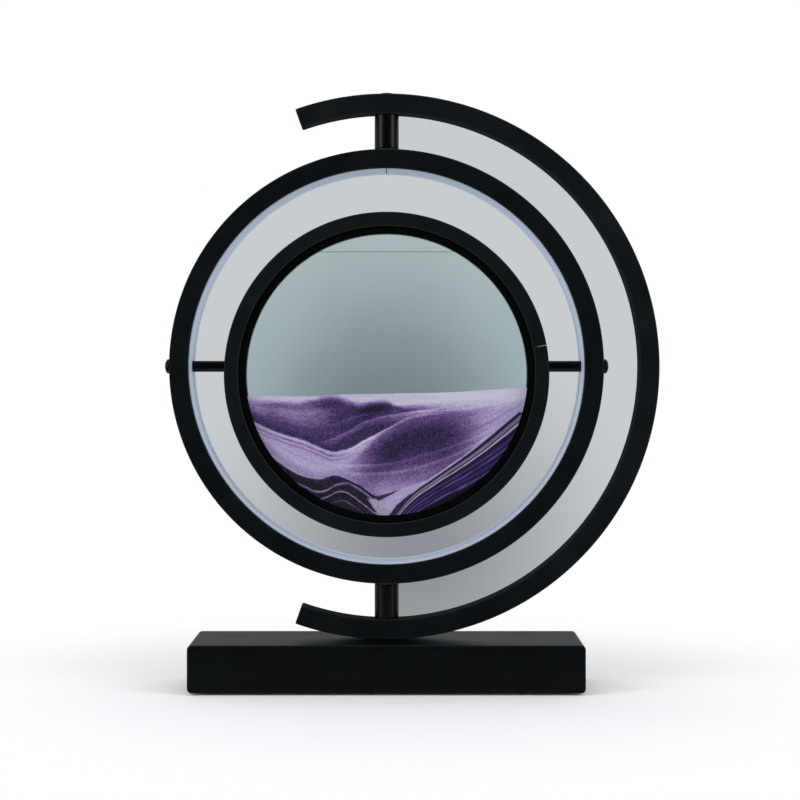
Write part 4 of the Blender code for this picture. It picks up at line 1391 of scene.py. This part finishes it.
def settle(
    name: str,
    shape: Shape,
    body: Body,
    paint: Paint,
    node: str,
    origin: Sequence[float] = (0, 0, 0),
    cutters: Sequence[Shape] = (),
) -> None:
    """Makes a piece, dresses it and puts it on its body in place of the node that it stands for.

    Args:
        name: the piece's name.
        shape: its mesh about its origin, which is used up.
        body: the body that carries it.
        paint: its finish.
        node: the frame's node that it replaces.
        origin: where it stands in the frame.
        cutters: shapes about the same origin that are cut out of it.
    """
    piece = model(name, shape, origin)
    if cutters:
        cut(piece, cutters)
    mark_edges(piece.data)
    paint.coat(piece)
    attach(piece, body.value)
    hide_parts(node)
    LOG.info("%s: %d faces, %s, for %s", piece.name, len(piece.data.polygons), paint.slot, node)


@dataclass
class BlockBase:
    """The weighted block that the lamp stands on."""

    wall: float = 2 * MM
    corner: float = 2.2 * MM
    edge: float = 0.7 * MM
    flat_start: float = 1.3  # where the sides' flats begin, as a share of the edge
    slot_margin: float = 0.3 * MM
    slot_corner: float = 0.9 * MM
    socket_wall: float = 0.35 * MM
    socket_back: float = 1.4 * MM
    tongue_width: float = 6.4 * MM
    tongue_thickness: float = 0.7 * MM
    tongue_corner: float = 0.2 * MM
    tongue_setback: float = 1.3 * MM
    pad_edge: float = 0.5 * MM
    pad_bevel: float = 0.3  # how far in the middle of the pad's edge lies, as a share of the edge
    pad_corner: float = 3 * MM

    def build(self) -> None:
        """Makes the block, its socket and its pad."""
        self.add_block()
        self.add_socket()
        self.add_pad()

    def add_block(self) -> None:
        """A hollow block, open underneath, with rounded corners and crisper front and rear edges."""
        extent, socket = Extent.of("base_housing"), Extent.of("power_inlet")
        near, far, wall = extent.low.y, extent.high.y, self.wall
        ends = rounding(self.edge) + [(0.0, self.edge * self.flat_start)]
        path = [(inset, near + depth) for inset, depth in ends]
        path += [(inset, far - depth) for inset, depth in reversed(ends)]
        low, high = extent.low.xz + Vector((wall, -wall)), extent.high.xz - Vector((wall, wall))
        hollow = slab(rectangle(low, high, self.edge), near + wall, far - wall)
        margin = Vector((self.slot_margin, self.slot_margin))
        mouth = rectangle(socket.low.xz - margin, socket.high.xz + margin, self.slot_corner)
        cutters = [hollow, slab(mouth, far - 2 * wall, far + wall)]
        block = boxed(extent, path, self.corner)
        settle("base_block", block, Body.STAND, Paint.SHADED_BLACK_PAINT, "base_housing", cutters=cutters)

    def add_socket(self) -> None:
        """A flat socket: a drawn shell with a contact tongue, its mouth to the rear."""
        extent = Extent.of("power_inlet")
        near, far, wall = extent.low.y, extent.high.y, self.socket_wall
        path = [(0.0, near), (0.0, far), (wall, far), (wall, near + self.socket_back)]
        shell = boxed(extent, path, self.slot_corner)
        half = Vector((self.tongue_width, self.tongue_thickness)) / 2
        outline = rectangle(extent.middle.xz - half, extent.middle.xz + half, self.tongue_corner)
        tongue = slab(outline, near + self.socket_back / 2, far - self.tongue_setback)
        settle("power_socket", join([shell, tongue]), Body.STAND, Paint.NICKEL, "power_inlet")

    def add_pad(self) -> None:
        """The soft pad underneath, with rounded corners and edges."""
        extent, edge = Extent.of("base_pad"), self.pad_edge
        low, high, bevel = extent.low.z, extent.high.z, self.pad_edge * self.pad_bevel
        path = [(edge, low), (bevel, low + bevel), (0, low + edge)]
        path += [(0, high - edge), (bevel, high - bevel), (edge, high)]
        settle("foot_pad", boxed(extent, path, self.pad_corner, True), Body.STAND, Paint.FOAM, "base_pad")


@dataclass
class OpenArm:
    """The C-shaped bar and the two posts that the ring turns on."""

    edge: float = 0.7 * MM
    overhang: float = math.radians(19.6)
    seat: float = 0.03 * MM
    post_edge: float = 0.35 * MM
    washer_edge: float = 0.2 * MM
    core_share: float = 0.58  # a shank or a bore, as a share of the whole width
    bolt_gap: float = 0.25 * MM
    bolt_depth: float = 2.0 * MM
    bolt_head: Line = ((0, 0.9), (0, 0.3), (0.1, 0.08), (0.35, 0))  # millimetres inwards and down
    socket_flats: float = 2.5 * MM
    socket_depth: float = 1.2 * MM

    def build(self) -> None:
        """Makes the bar, its screw, the posts and their washers."""
        self.add_bar()
        self.add_bolt()
        for end in ("lower", "upper"):
            self.add_sleeve(f"{end}_post", f"{end}_column", self.post_edge, Paint.SATIN_BLACK)
        for end in ("lower", "upper"):
            self.add_sleeve(f"{end}_swivel_washer", f"{end}_spacer", self.washer_edge, Paint.GREY_NYLON)

    def add_bar(self) -> None:
        """A square bar bent to a C, flat where it stands on the block, with a countersink at its top."""
        extent, bolt = Extent.of("outer_arm"), Extent.of("upper_bolt")
        outer, width, depth = extent.high.x, extent.size.y, self.bolt_depth
        centre = extent.high.z - outer
        start = -QUARTER - self.overhang
        profile = rectangle((outer - width, -width / 2), (outer, width / 2), self.edge)
        bar = hoop(profile, ARM_STEPS, start, -start, self.edge)
        floor = Extent.of("base_housing").high.z + self.seat - centre
        for vertex in bar.verts:
            vertex.co.z = max(vertex.co.z, floor)
        head, radius = bolt.high.z - centre, bolt.high.x + self.bolt_gap
        sink = [(radius, head + depth), (radius, head - depth), (radius / 2, head - 2 * depth)]
        cutters = [turned(sink, Axis.Z, HOLE_STEPS)]
        settle("arm_bar", bar, Body.STAND, Paint.MATT_BLACK, "outer_arm", (0, 0, centre), cutters)

    def add_bolt(self) -> None:
        """A countersunk screw with a six-sided socket."""
        extent = Extent.of("upper_bolt")
        radius, top = extent.high.x, extent.high.z
        shank = radius * self.core_share
        profile = [(shank, extent.low.z), (shank, top - 2 * self.bolt_depth)]
        profile += [(radius - inwards * MM, top - down * MM) for inwards, down in self.bolt_head]
        corner = self.socket_flats / math.sqrt(3)
        cutters = [turned([(corner, top + MM), (corner, top - self.socket_depth)], Axis.Z, 6)]
        bolt = turned(profile, Axis.Z, HOLE_STEPS)
        settle("arm_screw", bolt, Body.STAND, Paint.MATT_BLACK, "upper_bolt", cutters=cutters)

    def add_sleeve(self, node: str, name: str, edge: float, paint: Paint) -> None:
        """Turns a post or washer as a sleeve with eased ends.

        Args:
            node: the frame's node.
            name: the new piece's name.
            edge: rounding of the ends.
            paint: its finish.
        """
        extent = Extent.of(node)
        radius = extent.high.x
        profile = rectangle((radius * self.core_share, extent.low.z), (radius, extent.high.z), edge)
        settle(name, turned(profile, Axis.Z, POST_STEPS, hollow=True), Body.STAND, paint, node)


@dataclass
class LightRing:
    """The black channel with its frosted band, on the upright posts."""

    wall: float = 1.5 * MM
    width: float = 9.5 * MM
    edge: float = 0.6 * MM
    band_rise: float = 0.6 * MM
    band_edge: float = 0.25 * MM
    band_seam: float = 0.4 * MM
    axle_gap: float = 0.3 * MM
    flange_step: float = 1.4 * MM
    flange_thickness: float = MM
    bushing_edge: float = 0.15 * MM
    origin: Vector = field(init=False)

    def __post_init__(self) -> None:
        """Finds the ring's middle."""
        self.origin = Extent.of("ring_channel").middle

    def build(self) -> None:
        """Makes the channel, the band and the axle's bushings."""
        self.add_channel()
        self.add_band()
        for side in Side:
            self.add_bushing(side)

    def holes(self, radius: float, far: float) -> list[Shape]:
        """A level cutter for each end of the axle."""
        near = far - 2 * self.width
        return [turned([(radius, near), (radius, far)], side.axis, HOLE_STEPS) for side in Side]

    def add_channel(self) -> None:
        """The deep channel, bored for the bushings."""
        extent = Extent.of("ring_channel")
        outer = extent.high.x
        profile = channel(outer, outer - self.width, extent.size.y, self.wall, self.edge)
        bore = Extent.of("right_axle_bushing").size.y / 2 - self.flange_step + self.axle_gap
        cutters = self.holes(bore, outer + self.wall)
        shape = hoop(profile, RING_STEPS)
        settle("light_channel", shape, Body.RING, Paint.DULL_BLACK, "ring_channel", self.origin, cutters)

    def add_band(self) -> None:
        """The band, a little proud of the channel's lips, with a seam at its top and holes for the axle."""
        extent = Extent.of("ring_diffuser")
        half, outer = extent.size.y / 2, extent.high.x
        inner = Extent.of("ring_channel").high.x - self.width - self.band_rise
        profile = rectangle((inner, -half), (outer, half), self.band_edge, 0)
        seam = self.band_seam / inner / 2
        shape = hoop(profile, RING_STEPS, QUARTER + seam, QUARTER + TAU - seam)
        cutters = self.holes(Extent.of("right_axle_rod").size.y / 2 + self.axle_gap, outer + self.wall)
        settle("light_band", shape, Body.RING, Paint.FROSTED_BAND, "ring_diffuser", self.origin, cutters)

    def add_bushing(self, side: Side) -> None:
        """Turns a flanged sleeve for one end of the axle.

        Args:
            side: the axle's end.
        """
        node = f"{side.value}_axle_bushing"
        extent, edge = Extent.of(node), self.bushing_edge
        near, far = extent.outwards
        step, flange = near + self.flange_thickness, extent.size.y / 2
        sleeve = flange - self.flange_step
        bore = Extent.of(f"{side.value}_axle_rod").size.y / 2 + self.axle_gap
        corners = [(bore, near, edge), (flange, near, edge), (flange, step, edge), (sleeve, step, 0)]
        corners += [(sleeve, far, edge), (bore, far, edge)]
        shape = turned(eased(corners, 3), side.axis, HOLE_STEPS, hollow=True)
        settle(f"{side.value}_sleeve_bearing", shape, Body.RING, Paint.NYLON, node, self.origin)


@dataclass
class SandDisc:
    """The round picture: a black rim, two panes, a sealant ring, liquid and sand, with the axle's pins."""

    wall: float = 1.4 * MM
    lip: float = 7 * MM
    edge: float = 0.55 * MM
    joint_angle: float = math.radians(10.4)
    joint_gap: float = 0.12 * MM
    plug_gap: float = 0.3 * MM
    plug_foot: Line = ((0.5, 0), (0.62, 0.3))  # shares of the head's radius, millimetres above the foot
    plug_head: Line = ((0.62, 1), (1, 1), (1, 0.4), (0.9, 0.12), (0.6, 0.02), (0.2, 0))  # and below the top
    pane_edge: float = 0.4 * MM
    seal_width: float = 6.7 * MM
    seal_edge: float = 0.5 * MM
    seal_back_edge: float = 0.2 * MM
    cell_bite: float = 0.3 * MM  # how far the fill reaches into the sealant's wall
    wall_gap: float = 0.2 * MM  # how near the cell's wall a surface's last free point may lie
    fill_sink: float = 0.8 * MM  # how far the liquid reaches below the sand's surface
    fill_inset: float = 0.1 * MM
    pin_edge: float = 0.3 * MM
    cap_gap: float = 0.3 * MM
    cap_edge: float = 0.2 * MM
    cap_rise: float = 0.8  # height outside the ring, as a share of the solid's
    cap_shank: float = 0.4  # share of the cap's radius
    cap_steps: int = 12
    origin: Vector = field(init=False)
    axle: Vector = field(init=False)
    cell: float = field(init=False)

    def __post_init__(self) -> None:
        """Finds the disc's middle, the axle and the cell's radius."""
        self.origin = Vector((0, 0, Extent.of("front_glass").middle.z))
        self.axle = Vector((0, 0, Extent.of("right_axle_rod").middle.z))
        self.cell = Extent.of("cell_seal").size.z / 2 - self.seal_width + self.cell_bite

    def build(self) -> None:
        """Makes the rim, what it holds and the axle."""
        self.add_rim()
        for end in ("front", "rear"):
            self.add_pane(f"{end}_glass", f"{end}_pane")
        self.add_seal()
        self.add_plug()
        self.add_liquid()
        self.add_sand()
        for side in Side:
            self.add_pin(side)
            self.add_cap(side)

    def add_rim(self) -> None:
        """The rolled rim with its butt joint beside the right pin, bored for the filling plug."""
        extent = Extent.of("disc_hoop")
        outer = extent.size.z / 2
        profile = channel(outer, outer - self.lip, extent.size.y, self.wall, self.edge)
        half = self.joint_gap / outer / 2
        shape = hoop(profile, RING_STEPS, self.joint_angle + half, self.joint_angle + TAU - half)
        bore = Extent.of("fill_plug").high.x + self.plug_gap
        cutters = [turned([(bore, outer - self.lip), (bore, outer + self.lip)], Axis.Z, PLUG_STEPS)]
        settle("disc_rim", shape, Body.DISC, Paint.MATT_BLACK, "disc_hoop", self.origin, cutters)

    def add_pane(self, node: str, name: str) -> None:
        """Turns a round pane with ground edges.

        Args:
            node: the frame's node.
            name: the new piece's name.
        """
        extent = Extent.of(node)
        profile = bevelled(extent.size.z / 2, extent.low.y, extent.high.y, self.pane_edge)
        shape = turned(profile, Axis.Y, PANE_STEPS)
        settle(name, shape, Body.DISC, Paint.CLEAR_GLASS, node, self.origin)

    def add_seal(self) -> None:
        """The sealant between the panes, rounded towards the cell."""
        extent = Extent.of("cell_seal")
        outer, half = extent.size.z / 2, extent.size.y / 2
        inner = outer - self.seal_width
        profile = rectangle((inner, -half), (outer, half), self.seal_edge, self.seal_back_edge)
        shape = hoop(profile, PANE_STEPS)
        settle("sealant_ring", shape, Body.DISC, Paint.SEAL_RUBBER, "cell_seal", self.origin)

    def add_plug(self) -> None:
        """The filling plug, with a domed head."""
        extent = Extent.of("fill_plug")
        head, low, high = extent.high.x, extent.low.z - self.origin.z, extent.high.z - self.origin.z
        profile = [(head * share, low + above * MM) for share, above in self.plug_foot]
        profile += [(head * share, high - below * MM) for share, below in self.plug_head]
        shape = turned(profile, Axis.Z, PLUG_STEPS)
        settle("rim_plug", shape, Body.DISC, Paint.PLUG_RUBBER, "fill_plug", self.origin)

    def surface(self, points: Line) -> list[Vector]:
        """Runs a sand surface out to the cell's wall at both ends.

        Args:
            points: the surface's points in millimetres.

        Returns:
            The surface in metres.
        """
        line = [point * MM for point in smooth_line(points)]
        inside = [point for point in line if point.length < self.cell - self.wall_gap]
        ends = [point.normalized() * self.cell for point in (line[0], line[-1])]
        return [ends[0], *inside, ends[1]]

    def wall_arc(self, start: Vector, end: Vector, steps: int = 40) -> list[Vector]:
        """Follows the cell's wall between two of its points, the short way round.

        Args:
            start: the first point.
            end: the last point.
            steps: how many stretches the way has.

        Returns:
            The points on the way, without the ends.
        """
        first = math.atan2(start.y, start.x)
        turn = (math.atan2(end.y, end.x) - first + math.pi) % TAU - math.pi
        angles = [first + turn * step / steps for step in range(1, steps)]
        return [Vector((self.cell * math.cos(angle), self.cell * math.sin(angle))) for angle in angles]

    def add_liquid(self) -> None:
        """The liquid over the sand, flat below its pocket of air."""
        extent = Extent.of("liquid")
        level = extent.high.z - self.origin.z
        floor = [point - Vector((0, self.fill_sink)) for point in self.surface(SAND.top)]
        reach = math.sqrt(self.cell**2 - level**2)
        right, left = Vector((reach, level)), Vector((-reach, level))
        outline = floor + self.wall_arc(floor[-1], right) + [right, left] + self.wall_arc(left, floor[0])
        shape = slab(outline, extent.low.y + self.fill_inset, extent.high.y - self.fill_inset)
        settle("clear_fill", shape, Body.DISC, Paint.CLEAR_LIQUID, "liquid", self.origin)

    def add_sand(self) -> None:
        """The main bed and, below it, the ridge and the striped slope."""
        extent = Extent.of("sand_bed")
        top, ridge, slope = (self.surface(points) for points in (SAND.top, SAND.ridge, SAND.slope))
        bed = top + self.wall_arc(top[-1], slope[-1]) + slope[::-1] + self.wall_arc(slope[0], ridge[-1], 4)
        bed += ridge[::-1] + self.wall_arc(ridge[0], top[0])
        layers = [
            ("upper_dunes", bed, Paint.VIOLET_SAND, "sand_bed"),
            ("lower_ridge", ridge + self.wall_arc(ridge[-1], ridge[0]), Paint.DARK_SAND, "sand_ridge"),
            ("striped_slope", slope + self.wall_arc(slope[-1], slope[0]), Paint.DEEP_SAND, "sand_slope"),
        ]
        for name, outline, paint, node in layers:
            settle(name, slab(outline, extent.low.y, extent.high.y), Body.DISC, paint, node, self.origin)

    def add_pin(self, side: Side) -> None:
        """Turns one end of the axle.

        Args:
            side: the axle's end.
        """
        node = f"{side.value}_axle_rod"
        extent = Extent.of(node)
        shape = turned(bevelled(extent.size.y / 2, *extent.outwards, self.pin_edge), side.axis, PIN_STEPS)
        settle(f"{side.value}_pin", shape, Body.DISC, Paint.SATIN_BLACK, node, self.axle)

    def add_cap(self, side: Side) -> None:
        """Turns the domed cap outside the ring, with its shank.

        Args:
            side: the axle's end.
        """
        node = f"{side.value}_axle_cap"
        extent, edge = Extent.of(node), self.cap_edge
        near, far = extent.outwards
        radius = extent.size.y / 2
        foot, shank = Extent.of("ring_channel").high.x + self.cap_gap, radius * self.cap_shank
        far = foot + (far - foot) * self.cap_rise
        shoulder = (foot + far) / 2
        profile = [(shank, near), (shank, foot), (radius - edge, foot), (radius, foot + edge)]
        for step in range(self.cap_steps):
            angle = QUARTER * step / self.cap_steps
            profile.append((radius * math.cos(angle), shoulder + (far - shoulder) * math.sin(angle)))
        shape = turned(profile, side.axis, PIN_STEPS)
        settle(f"{side.value}_knob", shape, Body.DISC, Paint.SATIN_BLACK, node, self.axle)


@dataclass
class Fittings:
    """The pieces inside the lamp that keep the frame's own shapes."""

    record: dict

    def dress(self, nodes: dict[str, bpy.types.Object]) -> None:
        """Gives each node the finish of its slot.

        Args:
            nodes: the frame's nodes by name.
        """
        slots = {part["node"]: part["material_slot"] for part in self.record["subparts"]}
        for name, node in nodes.items():
            paint = Paint.of_slot(slots[name])
            paint.coat(node)
            LOG.info("%s: frame shape, %s", name, paint.slot)


@dataclass
class Studio:
    """The camera, the pale floor, the surroundings and the soft lamps."""

    camera_place: Corner = (0.0066, -0.9, 0.157)
    lens: float = 81.5
    sensor: float = 36
    rise: float = -0.037
    nearest: float = 0.01
    wall: Colour = screen(199, 204, 207)
    wall_shade: Colour = screen(141, 145, 151)
    ring_middle: Point = (-0.0073, 0.0022)  # places on the backdrop are parts of a unit line of sight
    ring_reach: float = 0.1141
    arm_reach: float = 0.1437
    rim_reach: float = 0.0855
    reach_soft: float = 0.004
    shadow_pool_middle: Point = (0.0065, -0.1)
    shadow_pool_reach: float = 0.1436
    disc_shadow_middle: Point = (-0.007, -0.1)
    disc_shadow_reach: Point = (0.097, 0.179)
    backdrop_depth: Point = (0.5, 0.9)
    room_depth: Point = (-0.35, 0.45)
    front_dark: Colour = (0.02, 0.021, 0.022)
    ambient: float = 0.85
    floor: Finish = PaleFloor("pale_studio_floor", screen(226, 228, 230), (0.13, 0.27))
    floor_radius: float = 1.6
    floor_drop: float = 0.2 * MM
    lamps: tuple[tuple[str, Corner, Point, float], ...] = (
        ("left_soft_box", (-0.85, -0.5, 0.42), (0.35, 0.9), 5.6),
        ("right_soft_box", (0.85, -0.5, 0.42), (0.35, 0.9), 4.8),
        ("top_soft_box", (0.0, -0.05, 1.0), (0.9, 0.6), 1.5),
    )
    aim: Corner = (0, 0, 0.14)

    def build(self) -> None:
        """Sets the whole studio up."""
        bpy.context.scene.view_settings.view_transform = "Standard"
        self.add_camera()
        self.add_floor()
        self.add_surroundings()
        for lamp in self.lamps:
            self.add_lamp(*lamp)

    def add_camera(self) -> None:
        """A level camera straight in front of the lamp."""
        data = bpy.data.cameras.new("camera")
        data.lens, data.sensor_width = self.lens, self.sensor
        data.shift_y = self.rise
        data.clip_start = self.nearest
        camera = bpy.data.objects.new("camera", data)
        camera.location = self.camera_place
        camera.rotation_euler = (QUARTER, 0, 0)
        bpy.context.scene.collection.objects.link(camera)
        bpy.context.scene.camera = camera

    def add_floor(self) -> None:
        """A pale floor that keeps the lamp's shadow and fades into the surroundings."""
        shape = bmesh.new()
        bmesh.ops.create_circle(shape, cap_ends=True, segments=POST_STEPS, radius=self.floor_radius)
        floor = model("studio_floor", shape, (0, 0, -self.floor_drop))
        floor.data.materials.append(self.floor.material())

    def add_surroundings(self) -> None:
        """A pale backdrop to look at, with painted shadow in the lamp's outline, a dim room behind the viewer
        for gloss, and even soft light.
        """
        world = bpy.data.worlds.new("studio")
        world.use_nodes = True
        bpy.context.scene.world = world
        graph, soft = Graph(world.node_tree), self.reach_soft
        depth = graph.part(graph.add("TexCoord", out="Generated"), "Y")
        across, height = depth.sibling("X"), depth.sibling("Z")
        # painted shadow on the backdrop: grey inside the ring's and the arm's outline, white outside
        right = across - self.ring_middle[0]
        outward = graph.length(right, height - self.ring_middle[1])
        reach = self.ring_reach + graph.ease(right, -soft, soft) * (self.arm_reach - self.ring_reach)
        inside = graph.ease(outward - reach, soft, -soft) * graph.ease(depth, *self.backdrop_depth)
        # painted shadow pools: one below the lamp, and one behind the disc that shows through the glass
        away = graph.length(across - self.shadow_pool_middle[0], height - self.shadow_pool_middle[1])
        shadow_pool = graph.ease(away, self.shadow_pool_reach, 0)
        side = (across - self.disc_shadow_middle[0]) / self.disc_shadow_reach[0]
        drop = (height - self.disc_shadow_middle[1]) / self.disc_shadow_reach[1]
        hollow = graph.ease(side * side + drop * drop, 1, 0)
        shade = shadow_pool.toward(hollow, graph.ease(outward - self.rim_reach, soft, -soft))
        seen = graph.blend(inside, WHITE, graph.blend(shade, self.wall, self.wall_shade))
        mirrored = graph.blend(graph.ease(depth, *self.room_depth), self.front_dark, self.wall)
        camera = graph.add("LightPath", out="Is Camera Ray")
        looked_at = graph.math("MAXIMUM", camera, camera.sibling("Is Transmission Ray"))
        colour = graph.blend(camera.sibling("Is Glossy Ray"), (self.ambient,) * 3, mirrored)
        colour = graph.blend(looked_at, colour, seen)
        light = graph.add("Background", None, {"Color": colour, "Strength": 1.0})
        graph.add("OutputWorld", None, {"Surface": light})

    def add_lamp(self, name: str, place: Corner, size: Point, power: float) -> None:
        """Puts up a soft box that faces the lamp.

        Args:
            name: its name.
            place: its position.
            size: its width and height.
            power: its power in watts.
        """
        data = bpy.data.lights.new(name, "AREA")
        data.shape = "RECTANGLE"
        data.size, data.size_y = size
        data.energy = power
        lamp = bpy.data.objects.new(name, data)
        lamp.location = place
        lamp.rotation_euler = (Vector(self.aim) - Vector(place)).to_track_quat("-Z", "Y").to_euler()
        lamp.visible_camera = False
        bpy.context.scene.collection.objects.link(lamp)


def main() -> None:
    """Builds the lamp's looks from the base up, then the studio round it."""
    logging.basicConfig(level=logging.INFO, format="%(name)s: %(message)s")
    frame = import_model()
    Fittings(frame["record"]).dress(frame["nodes"])
    for assembly in (BlockBase(), OpenArm(), LightRing(), SandDisc()):
        assembly.build()
    Studio().build()


if __name__ == "__main__":
    main()
